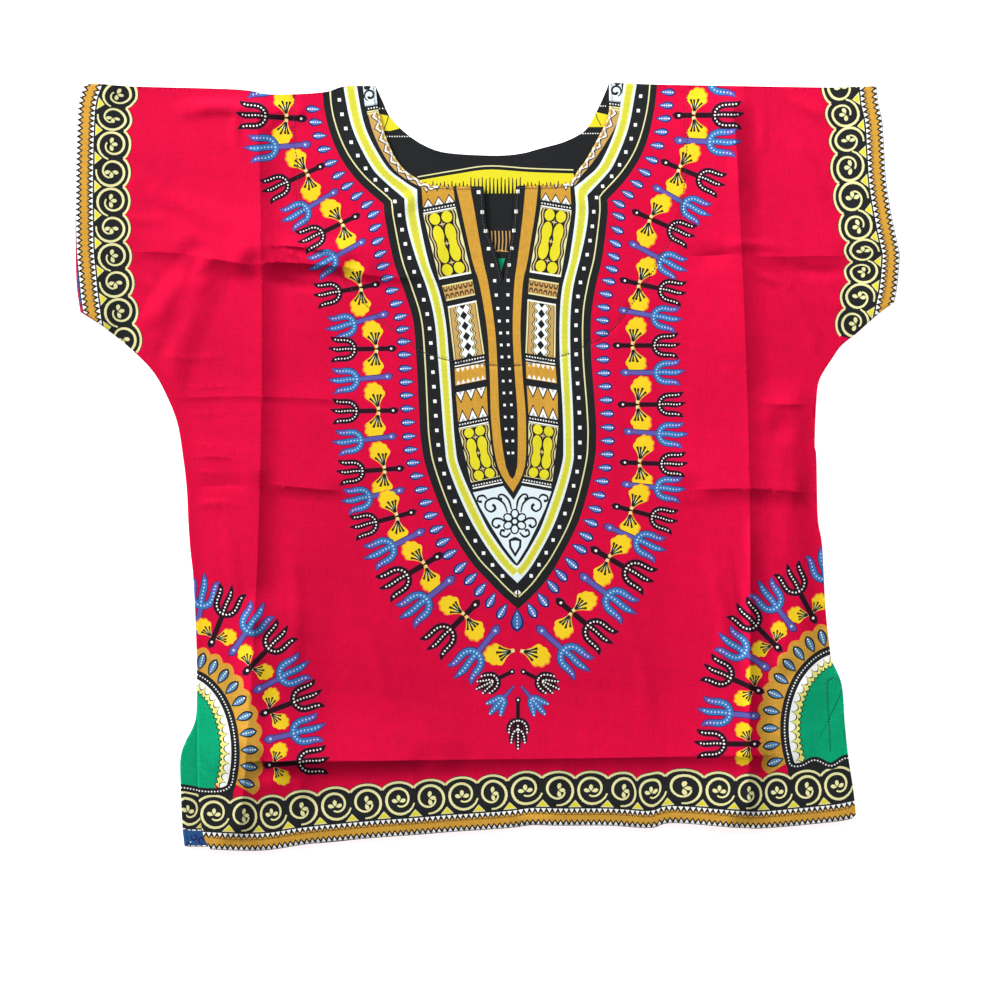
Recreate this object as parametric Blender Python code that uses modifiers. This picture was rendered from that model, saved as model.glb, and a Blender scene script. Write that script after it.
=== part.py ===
"""Short-sleeved pullover shirt with cut-on sleeves, laid flat and face up.

Two T-shaped panels, front and back, lie on each other.  Their hems and cuffs
are turned up to the inside, so four layers of cloth lie on each other there.
The front has a deep neckline with a short slit, and it is creased where the
shirt was folded for packing.

Tables are in millimetres.  X runs across the shirt, Y up to the neck and Z up
from the surface that the back panel rests on.  The origin is under the middle
of the shirt's box.
"""

import math

import bmesh
import bpy
from mathutils import Vector
from mathutils.geometry import delaunay_2d_cdt

MM = 0.001

# ---------------------------------------------------------------- sizes

WALL = 1.0              # cloth wall
SEAM_GAP = 0.3          # clearance between two layers
LAYER = WALL + SEAM_GAP  # rise from one layer to the next
TURNUP_WIDTH = 16.0     # depth of the turned-up hem and cuffs
TURNUP_LAYERS = 2       # turn-ups that lie between the two panels
TURNUP_RUN = 26.0       # the front settles back over this distance
PUFF = 1.1              # the front lies this much looser in its middle
PUFF_RUN = 70.0         # distance from a seam to the full looseness
CREASE_RUN = 26.0       # creases fade out towards a seam over this distance
BACK_SHARE = 0.4        # part of a press crease that the back panel takes

EDGE_STEP = 13.0        # spacing of points along an edge
GRID_STEP = 27.0        # spacing of points inside a panel
CREASE_STEP = 17.0      # spacing of points along a crease
POINT_CLEAR = 6.0       # two points inside a panel are no closer than this
GRID_CLEAR = 15.0       # a grid point is no closer to any other point than this
EDGE_CLEAR = 5.0        # no inner point is closer to an edge than this
MERGE = 0.01            # points closer than this are one

# Corner points of the front panel: (x, y).
SHOULDER_LEFT_END = (-403.0, 382.5)
SHOULDER_RIGHT_END = (389.2, 380.5)
CUFF_LEFT_LOW = (-404.3, 154.5)
CUFF_RIGHT_LOW = (406.5, 163.5)
HEM_LEFT = (-276.9, -382.5)
HEM_RIGHT = (364.5, -352.1)
NECK_LEFT = (-112.0, 381.0)
NECK_RIGHT = (121.5, 384.5)
SLIT_LEFT = (-4.0, 280.3)
SLIT_RIGHT = (30.5, 281.0)
SLIT_TIP = (16.0, 185.0)

# Each edge table lists the sections between two corners: (x, y).
SHOULDER_LEFT = [
    (-385.5, 382.5), (-355.5, 380.5), (-251.5, 377.5), (-216.5, 372.5),
    (-165.5, 374.5), (-143.5, 380.5),
]
SHOULDER_RIGHT = [
    (166.5, 382.5), (246.5, 381.0), (345.5, 379.5),
]
CUFF_LEFT = [
    (-409.3, 358.5), (-411.6, 290.0), (-411.2, 225.0), (-409.0, 195.0),
    (-406.5, 169.5),
]
CUFF_RIGHT = [
    (391.1, 362.5), (394.9, 345.5), (396.9, 314.5), (398.8, 284.5),
    (404.5, 249.5), (410.2, 222.5), (412.2, 209.5), (409.3, 176.5),
]
SIDE_LEFT = [
    (-382.5, 138.5), (-355.5, 116.5), (-334.5, 94.5), (-321.5, 71.5),
    (-310.5, 43.5), (-304.5, 7.5), (-301.0, -23.5), (-299.5, -55.5),
    (-297.5, -83.5), (-294.5, -112.5), (-291.5, -176.5), (-290.5, -240.5),
    (-289.5, -320.5), (-284.9, -364.5),
]
SIDE_RIGHT = [
    (394.5, 155.5), (379.5, 142.5), (368.5, 132.5), (354.5, 121.5),
    (345.2, 108.5), (332.5, 87.5), (329.2, 65.5), (327.5, 23.5),
    (329.2, 8.5), (330.5, -49.5), (334.0, -71.5), (335.5, -87.5),
    (338.5, -144.5), (343.5, -189.5), (345.1, -195.5), (354.5, -218.5),
    (357.5, -256.5), (361.1, -291.5), (365.5, -320.5), (368.1, -348.5),
]
HEM = [
    (-225.5, -384.0), (-178.5, -377.5), (-114.5, -371.5), (-66.5, -368.0),
    (-37.5, -365.5), (-5.5, -363.5), (26.5, -361.0), (45.5, -358.5),
    (76.5, -359.1), (121.5, -359.1), (162.5, -361.5), (185.5, -356.5),
    (249.5, -361.0), (281.5, -361.5), (345.5, -355.5),
]
NECK_FRONT_LEFT = [
    (-110.5, 364.5), (-108.5, 353.5), (-104.5, 337.5), (-98.5, 321.5),
    (-91.5, 307.5), (-82.5, 296.5), (-72.5, 289.5), (-59.5, 282.5),
    (-43.5, 280.8),
]
NECK_FRONT_RIGHT = [
    (121.5, 355.5), (117.5, 342.5), (111.5, 330.5), (104.5, 317.5),
    (97.5, 305.5), (90.5, 296.5), (83.5, 285.5), (70.0, 281.8),
]
SLIT_LEFT_EDGE = [(-2.5, 256.5), (-0.5, 238.5), (9.5, 211.5)]
SLIT_RIGHT_EDGE = [(27.5, 270.8), (25.5, 244.5), (20.5, 214.5)]
NECK_BACK = [
    (-104.5, 364.5), (-96.5, 348.5), (-77.5, 330.5), (-56.5, 318.5),
    (-34.5, 313.5), (8.5, 311.5), (33.5, 313.5), (52.5, 318.5),
    (77.5, 325.5), (97.5, 336.5), (106.5, 350.5), (113.5, 364.5),
    (119.5, 378.5),
]

# The back panel shows past the front at the left vent and the left cuff.
BACK_HEM_LEFT = (-303.5, -379.0)
BACK_CUFF_LEFT_LOW = (-407.5, 154.5)
BACK_CUFF_LEFT = [
    (-409.5, 358.5), (-412.0, 290.0), (-412.3, 215.5), (-411.3, 183.5),
    (-409.8, 169.5),
]
BACK_SIDE_LEFT = [
    (-382.5, 138.5), (-355.5, 116.5), (-334.5, 94.5), (-321.5, 71.5),
    (-310.5, 43.5), (-304.5, 7.5), (-301.0, -23.5), (-299.5, -55.5),
    (-297.5, -83.5), (-294.5, -112.5), (-291.5, -176.5), (-291.3, -240.5),
    (-294.5, -259.5), (-302.5, -275.5), (-307.5, -291.5), (-307.5, -316.5),
    (-305.5, -361.5),
]
BACK_HEM_TUCK = (-288.0, -380.5)    # from here the back's hem lies under the front's
VENT_TOP_LEFT = -240.0              # the side seams end at these levels
VENT_TOP_RIGHT = -195.5

# The creases and folds that show from a step away.  A fold runs from its
# start past its middle to its end.  "height" is that of its ridge, "reach"
# the distance to its foot on each side, "sharp" is 1 on a pressed crease and
# 0 on a soft roll, and "through" is 1 where the back panel has it too.
FOLD_COLUMNS = ("name", "start", "middle", "end", "height", "reach", "sharp", "through")
FOLDS = [
    ("press_left_top", (-229, 368), (-226, 290), (-226, 215), 3.6, 13, 1, 1),
    ("press_left_mid", (-226, 215), (-223, 90), (-225, -22), 3.4, 13, 1, 1),
    ("press_left_low", (-225, -22), (-231, -190), (-235, -378), 3.2, 13, 1, 1),
    ("press_right_top", (249, 380), (253, 290), (257, 187), 3.4, 13, 1, 1),
    ("press_right_mid", (257, 187), (262, 60), (263, -25), 3.2, 13, 1, 1),
    ("press_right_low", (263, -25), (265, -170), (267, -358), 3.4, 13, 1, 1),
    ("sleeve_left_pinch", (-357, 213), (-322, 214), (-288, 209), 3.0, 9, 1, 0),
    ("buckle_left", (-296, 207), (-226, 206), (-150, 196), 8.0, 24, 0, 0),
    ("buckle_tail", (-176, 197), (-120, 190), (-67, 190), 3.8, 13, 1, 0),
    ("armhole_fall_outer", (-288, 200), (-314, 172), (-338, 134), 5.2, 20, 0, 0),
    ("armhole_fall_inner", (-276, 196), (-302, 136), (-324, 70), 4.4, 17, 0, 0),
    ("press_across_right", (203, 208), (283, 208), (364, 209), 3.6, 12, 1, 1),
    ("side_left_400", (-314, 66), (-238, 68), (-143, 64), 2.4, 10, 1, 0),
    ("side_left_458", (-302, 8), (-276, 10), (-247, 6), 2.2, 9, 1, 0),
    ("press_across_left", (-300, -22), (-262, -18), (-226, -17), 4.4, 13, 1, 0),
    ("press_across_mid", (-226, -17), (-186, -21), (-142, -25), 3.6, 12, 1, 0),
    ("press_across_low_right", (203, -26), (264, -25), (329, -30), 3.4, 12, 1, 1),
    ("side_right_403", (273, 64), (300, 62), (327, 63), 1.8, 9, 1, 0),
    ("hem_roll_left", (-236, -291), (-110, -297), (20, -301), 4.6, 15, 0, 0),
    ("hem_roll_right", (20, -301), (170, -299), (342, -291), 4.2, 15, 0, 0),
    ("hem_twist", (26, -350), (48, -354), (72, -361), 2.8, 11, 0, 0),
    ("sleeve_left_drag", (-347, 281), (-298, 259), (-248, 236), 2.8, 16, 0, 0),
    ("sleeve_right_drag", (292, 380), (318, 362), (346, 346), 2.8, 14, 0, 0),
    ("shoulder_pucker_left", (-246, 372), (-206, 366), (-160, 368), 3.0, 13, 0, 0),
    ("neck_corner_left", (-60, 276), (-84, 262), (-104, 242), 2.2, 12, 0, 0),
    ("neck_corner_right", (84, 276), (102, 262), (118, 244), 2.2, 12, 0, 0),
]
FOLD_BENDS = 6          # a curved fold is measured as this many straight runs
FOLD_END_HEIGHT = 0.35  # part of its height that a fold keeps at its ends
FADE_END = 22.0         # a fold reaches its full height over this distance
CREASE_POWER = 1.5      # a pressed crease rises ever steeper to its ridge
WIDE_FOLD = 14.0        # a fold with a longer reach has a row halfway up too

CLOTH_COLOUR = (0.78, 0.015, 0.055, 1.0)
CLOTH_INSIDE_COLOUR = (0.66, 0.02, 0.06, 1.0)
HEM_COLOUR = (0.62, 0.31, 0.05, 1.0)
HEM_INSIDE_COLOUR = (0.03, 0.08, 0.33, 1.0)
CLOTH_ROUGHNESS = 0.85


# ---------------------------------------------------------------- flat geometry

def smooth_run(points, step):
    """Points along a smooth curve through the given ones, about one step apart."""
    ends = [points[0]] + list(points) + [points[-1]]
    out = []
    for i in range(1, len(ends) - 2):
        before, here, there, after = (Vector(ends[k]) for k in range(i - 1, i + 3))
        length = (there - here).length
        count = max(1, round(length / step))
        for k in range(count):
            t = k / count
            leave = (there - before) * 0.5
            arrive = (after - here) * 0.5
            point = (here * (2 * t**3 - 3 * t**2 + 1) + leave * (t**3 - 2 * t**2 + t)
                     + there * (3 * t**2 - 2 * t**3) + arrive * (t**3 - t**2))
            out.append((point.x, point.y))
    return out


def edge_run(start, sections, end):
    """One edge of a panel, from its first corner up to but not at its last."""
    return smooth_run([start] + list(sections) + [end], EDGE_STEP)


def front_outline():
    """The front panel's edge, counter-clockwise from the hem's left corner."""
    return (edge_run(HEM_LEFT, HEM, HEM_RIGHT)
            + edge_run(HEM_RIGHT, SIDE_RIGHT[::-1], CUFF_RIGHT_LOW)
            + edge_run(CUFF_RIGHT_LOW, CUFF_RIGHT[::-1], SHOULDER_RIGHT_END)
            + edge_run(SHOULDER_RIGHT_END, SHOULDER_RIGHT[::-1], NECK_RIGHT)
            + edge_run(NECK_RIGHT, NECK_FRONT_RIGHT, SLIT_RIGHT)
            + edge_run(SLIT_RIGHT, SLIT_RIGHT_EDGE, SLIT_TIP)
            + edge_run(SLIT_TIP, SLIT_LEFT_EDGE[::-1], SLIT_LEFT)
            + edge_run(SLIT_LEFT, NECK_FRONT_LEFT[::-1], NECK_LEFT)
            + edge_run(NECK_LEFT, SHOULDER_LEFT[::-1], SHOULDER_LEFT_END)
            + edge_run(SHOULDER_LEFT_END, CUFF_LEFT, CUFF_LEFT_LOW)
            + edge_run(CUFF_LEFT_LOW, SIDE_LEFT, HEM_LEFT))


def back_outline():
    """The back panel's edge, counter-clockwise from the hem's left corner."""
    return (edge_run(BACK_HEM_LEFT, [BACK_HEM_TUCK] + HEM[1:], HEM_RIGHT)
            + edge_run(HEM_RIGHT, SIDE_RIGHT[::-1], CUFF_RIGHT_LOW)
            + edge_run(CUFF_RIGHT_LOW, CUFF_RIGHT[::-1], SHOULDER_RIGHT_END)
            + edge_run(SHOULDER_RIGHT_END, SHOULDER_RIGHT[::-1], NECK_RIGHT)
            + edge_run(NECK_RIGHT, NECK_BACK[::-1], NECK_LEFT)
            + edge_run(NECK_LEFT, SHOULDER_LEFT[::-1], SHOULDER_LEFT_END)
            + edge_run(SHOULDER_LEFT_END, BACK_CUFF_LEFT, BACK_CUFF_LEFT_LOW)
            + edge_run(BACK_CUFF_LEFT_LOW, BACK_SIDE_LEFT, BACK_HEM_LEFT))


def distance_to_run(point, run):
    """Shortest distance from a point to a polyline."""
    px, py = point
    best = math.inf
    for (ax, ay), (bx, by) in zip(run, run[1:]):
        dx, dy = bx - ax, by - ay
        t = ((px - ax) * dx + (py - ay) * dy) / (dx * dx + dy * dy)
        t = min(1.0, max(0.0, t))
        best = min(best, math.hypot(px - ax - t * dx, py - ay - t * dy))
    return best


def inside(point, outline):
    """Whether a point lies inside a closed outline."""
    px, py = point
    odd = False
    for (ax, ay), (bx, by) in zip(outline, outline[1:] + outline[:1]):
        if (ay > py) != (by > py) and px < ax + (py - ay) * (bx - ax) / (by - ay):
            odd = not odd
    return odd


def ease(t):
    """Smooth step from 0 to 1."""
    t = min(1.0, max(0.0, t))
    return t * t * (3 - 2 * t)


def moved_in(run, width):
    """An edge's points moved to the left of its direction by a width."""
    out = []
    for i, here in enumerate(run):
        before = Vector(run[max(0, i - 1)])
        after = Vector(run[min(len(run) - 1, i + 1)])
        along = (after - before).normalized()
        out.append((here[0] - along.y * width, here[1] + along.x * width))
    return out


# ---------------------------------------------------------------- folds and lie

def fold_line(fold):
    """The polyline of a fold that passes through its start, middle and end."""
    start, middle, end = (Vector(fold[key]) for key in ("start", "middle", "end"))
    handle = middle * 2 - (start + end) * 0.5
    line = []
    for i in range(FOLD_BENDS + 1):
        t = i / FOLD_BENDS
        point = start * (1 - t)**2 + handle * (2 * t * (1 - t)) + end * t**2
        line.append((point.x, point.y))
    return line


def named_folds():
    """The fold table as dictionaries, each with its own line."""
    folds = []
    for row in FOLDS:
        fold = dict(zip(FOLD_COLUMNS, row))
        fold["line"] = fold_line(fold)
        folds.append(fold)
    return folds


def fold_height(point, fold):
    """Height that one fold gives a point of the cloth."""
    away = distance_to_run(point, fold["line"])
    if away >= fold["reach"]:
        return 0.0
    along = min(math.dist(point, fold["line"][0]), math.dist(point, fold["line"][-1]))
    near = 1 - away / fold["reach"]
    shape = near**CREASE_POWER if fold["sharp"] else ease(near)
    held = FOLD_END_HEIGHT + (1 - FOLD_END_HEIGHT) * ease(along / FADE_END)
    return fold["height"] * shape * held


FRONT_EDGE = front_outline()
BACK_EDGE = back_outline()
ALL_FOLDS = named_folds()

HEM_RUN = edge_run(HEM_LEFT, HEM, HEM_RIGHT) + [HEM_RIGHT]
BACK_HEM_RUN = edge_run(BACK_HEM_LEFT, [BACK_HEM_TUCK] + HEM[1:], HEM_RIGHT) + [HEM_RIGHT]
CUFF_RIGHT_RUN = (edge_run(CUFF_RIGHT_LOW, CUFF_RIGHT[::-1], SHOULDER_RIGHT_END)
                  + [SHOULDER_RIGHT_END])
CUFF_LEFT_RUN = edge_run(SHOULDER_LEFT_END, CUFF_LEFT, CUFF_LEFT_LOW) + [CUFF_LEFT_LOW]
BACK_CUFF_LEFT_RUN = (edge_run(SHOULDER_LEFT_END, BACK_CUFF_LEFT, BACK_CUFF_LEFT_LOW)
                      + [BACK_CUFF_LEFT_LOW])
SEAM_RUNS = [
    edge_run(SHOULDER_RIGHT_END, SHOULDER_RIGHT[::-1], NECK_RIGHT) + [NECK_RIGHT],
    edge_run(NECK_LEFT, SHOULDER_LEFT[::-1], SHOULDER_LEFT_END) + [SHOULDER_LEFT_END],
    [p for p in edge_run(CUFF_LEFT_LOW, SIDE_LEFT, HEM_LEFT) if p[1] > VENT_TOP_LEFT],
    [p for p in edge_run(HEM_RIGHT, SIDE_RIGHT[::-1], CUFF_RIGHT_LOW)
     if p[1] > VENT_TOP_RIGHT] + [CUFF_RIGHT_LOW],
]


def seam_distance(point):
    """Distance from a point to the nearest seam that joins front and back."""
    return min(distance_to_run(point, run) for run in SEAM_RUNS)


def turnup_distance(point):
    """Distance from a point to the nearest edge that has a turn-up under it."""
    runs = (BACK_HEM_RUN, CUFF_RIGHT_RUN, BACK_CUFF_LEFT_RUN)
    return min(distance_to_run(point, run) for run in runs)


def back_top(point):
    """Height of the back panel's upper side over its resting surface."""
    held = ease(seam_distance(point) / CREASE_RUN)
    raised = sum(fold_height(point, f) for f in ALL_FOLDS if f["through"])
    return WALL + BACK_SHARE * raised * held


def front_top(point):
    """Height of the front panel's upper side over the resting surface."""
    from_seam = seam_distance(point)
    past_turnup = (turnup_distance(point) - TURNUP_WIDTH - EDGE_CLEAR) / TURNUP_RUN
    layers = LAYER + TURNUP_LAYERS * LAYER * (1 - ease(past_turnup))
    puff = PUFF * ease(from_seam / PUFF_RUN) * ease(past_turnup)
    raised = sum(fold_height(point, f) for f in ALL_FOLDS)
    return WALL + layers + puff + raised * ease(from_seam / CREASE_RUN)


# ---------------------------------------------------------------- meshes

def crease_points(folds):
    """Rows of points along each fold: on its ridge and at its feet."""
    points = []
    for fold in folds:
        rows = (0.0, 0.5, 1.0) if fold["reach"] > WIDE_FOLD else (0.0, 1.0)
        ridge = smooth_run(fold["line"], CREASE_STEP) + [fold["line"][-1]]
        for share in rows:
            for side in ((1, -1) if share else (1,)):
                points += moved_in(ridge, side * share * fold["reach"])
    return points


def grid_points(outline):
    """A staggered grid of points over an outline's box."""
    xs = [p[0] for p in outline]
    ys = [p[1] for p in outline]
    rows = int((max(ys) - min(ys)) / GRID_STEP) + 1
    columns = int((max(xs) - min(xs)) / GRID_STEP) + 1
    return [(min(xs) + (i + 0.5 * (j % 2)) * GRID_STEP, min(ys) + j * GRID_STEP)
            for j in range(rows) for i in range(columns)]


def panel_points(outline, folds, lines):
    """Inner points of a panel: fold rows first, then the grid between them."""
    closed = outline + outline[:1]
    kept = []
    for candidates, clear in ((crease_points(folds), POINT_CLEAR),
                              (grid_points(outline), GRID_CLEAR)):
        for point in candidates:
            if not inside(point, outline) or distance_to_run(point, closed) < EDGE_CLEAR:
                continue
            if any(distance_to_run(point, line) < EDGE_CLEAR for line in lines):
                continue
            if all(math.dist(point, other) >= clear for other in kept):
                kept.append(point)
    return kept


def clipped(run, outline):
    """A line's points with the first and last moved out to cross the outline."""
    first, second = Vector(run[0]), Vector(run[1])
    last, previous = Vector(run[-1]), Vector(run[-2])
    reach = TURNUP_WIDTH * 2
    start = first + (first - second).normalized() * reach
    end = last + (last - previous).normalized() * reach
    return [tuple(start)] + [p for p in run if inside(p, outline)] + [tuple(end)]


def panel_faces(outline, folds, lines):
    """Triangles that fill an outline and keep the given lines as edges."""
    points = [Vector(p) for p in outline]
    count = len(points)
    edges = [(i, (i + 1) % count) for i in range(count)]
    for line in lines:
        first = len(points)
        points += [Vector(p) for p in line]
        edges += [(first + i, first + i + 1) for i in range(len(line) - 1)]
    points += [Vector(p) for p in panel_points(outline, folds, lines)]
    verts, _, faces, *_ = delaunay_2d_cdt(points, edges, [], 0, MERGE)
    flat = [(v.x, v.y) for v in verts]
    keep = []
    for face in faces:
        middle = (sum(flat[i][0] for i in face) / 3, sum(flat[i][1] for i in face) / 3)
        if inside(middle, outline):
            keep.append(tuple(face))
    return flat, keep


def cloth_material(name, colour):
    """Matt printed cotton."""
    material = bpy.data.materials.new(name)
    material.use_nodes = True
    shader = material.node_tree.nodes["Principled BSDF"]
    shader.inputs["Base Color"].default_value = colour
    shader.inputs["Roughness"].default_value = CLOTH_ROUGHNESS
    shader.inputs["Metallic"].default_value = 0.0
    return material


def cloth_piece(name, collection, flat, faces, height, colour):
    """A sheet at the given height over each point, with the wall below it."""
    used = sorted({i for face in faces for i in face})
    place = {old: new for new, old in enumerate(used)}
    verts = [(flat[i][0] * MM, flat[i][1] * MM, height(flat[i]) * MM) for i in used]
    mesh = bpy.data.meshes.new(name)
    mesh.from_pydata(verts, [], [[place[i] for i in face] for face in faces])
    sheet = bmesh.new()
    sheet.from_mesh(mesh)
    bmesh.ops.recalc_face_normals(sheet, faces=sheet.faces)
    if sum(face.normal.z for face in sheet.faces) < 0:
        bmesh.ops.reverse_faces(sheet, faces=sheet.faces)
    sheet.to_mesh(mesh)
    sheet.free()
    mesh.materials.append(cloth_material(name, colour))
    piece = bpy.data.objects.new(name, mesh)
    collection.objects.link(piece)
    wall = piece.modifiers.new("wall", "SOLIDIFY")
    wall.thickness = WALL * MM
    wall.offset = -1.0
    wall.use_even_offset = True
    return piece


def strip_faces(flat, faces, run):
    """The faces of a panel that lie within a turn-up's width of an edge."""
    strip = []
    for face in faces:
        middle = (sum(flat[i][0] for i in face) / 3, sum(flat[i][1] for i in face) / 3)
        if distance_to_run(middle, run) < TURNUP_WIDTH:
            strip.append(face)
    return strip


def make_panel(collection, side, outline, folds, runs, height, layer_step):
    """A panel and the turn-ups that lie along its hem and its cuffs."""
    inner_lines = [clipped(moved_in(run, TURNUP_WIDTH), outline) for run in runs.values()]
    flat, faces = panel_faces(outline, folds, inner_lines)
    cloth_piece(side, collection, flat, faces, height,
                CLOTH_COLOUR if side == "front" else CLOTH_INSIDE_COLOUR)
    for edge, run in runs.items():
        cloth_piece(f"{side}_{edge}_turnup", collection, flat,
                    strip_faces(flat, faces, run),
                    lambda point: height(point) + layer_step,
                    HEM_COLOUR if side == "front" else HEM_INSIDE_COLOUR)


def clear_scene():
    """Remove whatever the scene holds."""
    for thing in list(bpy.data.objects):
        bpy.data.objects.remove(thing, do_unlink=True)


def main():
    """Build the shirt."""
    clear_scene()
    collection = bpy.data.collections.new("pullover_shirt")
    bpy.context.scene.collection.children.link(collection)
    through = [fold for fold in ALL_FOLDS if fold["through"]]
    make_panel(collection, "back", BACK_EDGE, through,
               {"hem": BACK_HEM_RUN, "cuff_left": BACK_CUFF_LEFT_RUN,
                "cuff_right": CUFF_RIGHT_RUN}, back_top, LAYER)
    make_panel(collection, "front", FRONT_EDGE, ALL_FOLDS,
               {"hem": HEM_RUN, "cuff_left": CUFF_LEFT_RUN,
                "cuff_right": CUFF_RIGHT_RUN}, front_top, -LAYER)


main()
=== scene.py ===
"""A printed pullover shirt with cut-on sleeves, laid flat and face up.

The two panels and their turn-ups are thin cloth shells.  The print is drawn
with closed shapes in the cloth's own surface, one colour of ink to a shape.
Tables are in millimetres: X across the shirt, Y up to the neck.
"""

import math

import bmesh
import bpy
import numpy as np
from bpy.props import FloatProperty, FloatVectorProperty, PointerProperty
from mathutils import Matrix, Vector
from mathutils.geometry import delaunay_2d_cdt


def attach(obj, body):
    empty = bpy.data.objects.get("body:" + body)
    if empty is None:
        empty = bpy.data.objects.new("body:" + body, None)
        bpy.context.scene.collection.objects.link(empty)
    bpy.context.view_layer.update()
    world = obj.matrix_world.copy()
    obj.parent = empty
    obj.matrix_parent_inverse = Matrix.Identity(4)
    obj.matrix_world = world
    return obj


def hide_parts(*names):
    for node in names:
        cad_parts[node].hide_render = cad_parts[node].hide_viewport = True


bl_info = {
    "name": "Printed pullover shirt",
    "version": (1, 0, 0),
    "blender": (4, 5, 0),
    "location": "3D View > Sidebar > Shirt",
    "description": "Makes a printed pullover shirt that lies flat, piece by piece",
    "category": "Add Mesh",
}

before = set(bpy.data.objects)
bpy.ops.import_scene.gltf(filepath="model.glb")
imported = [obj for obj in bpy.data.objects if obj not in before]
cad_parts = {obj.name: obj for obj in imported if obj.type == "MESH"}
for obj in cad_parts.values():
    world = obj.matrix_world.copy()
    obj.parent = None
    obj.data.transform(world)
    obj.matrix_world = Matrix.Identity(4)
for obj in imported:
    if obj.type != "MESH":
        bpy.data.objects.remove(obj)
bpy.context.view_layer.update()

MM = 0.001

# ---------------------------------------------------------------- cut

SHOULDER_LEFT_END = (-403.0, 382.5)
SHOULDER_RIGHT_END = (389.2, 380.5)
CUFF_LEFT_LOW = (-404.3, 154.5)
CUFF_RIGHT_LOW = (406.5, 163.5)
HEM_LEFT = (-276.9, -382.5)
HEM_RIGHT = (364.5, -352.1)
NECK_LEFT = (-112.0, 381.0)
NECK_RIGHT = (121.5, 384.5)
SLIT_LEFT = (-4.0, 280.3)
SLIT_RIGHT = (30.5, 281.0)
SLIT_TIP = (16.0, 185.0)

SHOULDER_LEFT = [
    (-385.5, 382.5), (-355.5, 380.5), (-251.5, 377.5), (-216.5, 372.5),
    (-165.5, 374.5), (-143.5, 380.5),
]
SHOULDER_RIGHT = [(166.5, 382.5), (246.5, 381.0), (345.5, 379.5)]
CUFF_LEFT = [
    (-409.3, 358.5), (-411.6, 290.0), (-411.2, 225.0), (-409.0, 195.0),
    (-406.5, 169.5),
]
CUFF_RIGHT = [
    (391.1, 362.5), (394.9, 345.5), (396.9, 314.5), (398.8, 284.5),
    (404.5, 249.5), (410.2, 222.5), (412.2, 209.5), (409.3, 176.5),
]
SIDE_LEFT_UPPER = [
    (-382.5, 138.5), (-355.5, 116.5), (-334.5, 94.5), (-321.5, 71.5),
    (-310.5, 43.5), (-304.5, 7.5), (-301.0, -23.5), (-299.5, -55.5),
    (-297.5, -83.5), (-294.5, -112.5), (-291.5, -176.5),
]
SIDE_LEFT = SIDE_LEFT_UPPER + [(-290.5, -240.5), (-289.5, -320.5), (-284.9, -364.5)]
SIDE_RIGHT = [
    (394.5, 155.5), (379.5, 142.5), (368.5, 132.5), (354.5, 121.5),
    (345.2, 108.5), (332.5, 87.5), (329.2, 65.5), (327.5, 23.5),
    (329.2, 8.5), (330.5, -49.5), (334.0, -71.5), (335.5, -87.5),
    (338.5, -144.5), (343.5, -189.5), (345.1, -195.5), (354.5, -218.5),
    (357.5, -256.5), (361.1, -291.5), (365.5, -320.5), (368.1, -348.5),
]
HEM = [
    (-225.5, -384.0), (-178.5, -377.5), (-114.5, -371.5), (-66.5, -368.0),
    (-37.5, -365.5), (-5.5, -363.5), (26.5, -361.0), (45.5, -358.5),
    (76.5, -359.1), (121.5, -359.1), (162.5, -361.5), (185.5, -356.5),
    (249.5, -361.0), (281.5, -361.5), (345.5, -355.5),
]
NECK_FRONT_LEFT = [
    (-110.5, 364.5), (-108.5, 353.5), (-104.5, 337.5), (-98.5, 321.5),
    (-91.5, 307.5), (-82.5, 296.5), (-72.5, 289.5), (-59.5, 282.5),
    (-43.5, 280.8),
]
NECK_FRONT_RIGHT = [
    (121.5, 355.5), (117.5, 342.5), (111.5, 330.5), (104.5, 317.5),
    (97.5, 305.5), (90.5, 296.5), (83.5, 285.5), (70.0, 281.8),
]
SLIT_LEFT_EDGE = [(-2.5, 256.5), (-0.5, 238.5), (9.5, 211.5)]
SLIT_RIGHT_EDGE = [(27.5, 270.8), (25.5, 244.5), (20.5, 214.5)]
NECK_BACK = [
    (-104.5, 364.5), (-96.5, 348.5), (-77.5, 330.5), (-56.5, 318.5),
    (-34.5, 313.5), (8.5, 311.5), (33.5, 313.5), (52.5, 318.5),
    (77.5, 325.5), (97.5, 336.5), (106.5, 350.5), (113.5, 364.5),
    (119.5, 378.5),
]
BACK_HEM_LEFT = (-303.5, -379.0)
BACK_HEM_TUCK = (-288.0, -380.5)
BACK_CUFF_LEFT_LOW = (-407.5, 154.5)
BACK_CUFF_LEFT = [
    (-409.5, 358.5), (-412.0, 290.0), (-412.3, 215.5), (-411.3, 183.5),
    (-409.8, 169.5),
]
BACK_SIDE_LEFT = SIDE_LEFT_UPPER + [
    (-291.3, -240.5), (-294.5, -259.5), (-302.5, -275.5), (-307.5, -291.5),
    (-307.5, -316.5), (-305.5, -361.5),
]
VENT_TOP_LEFT = -240.0
VENT_TOP_RIGHT = -195.5

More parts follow.
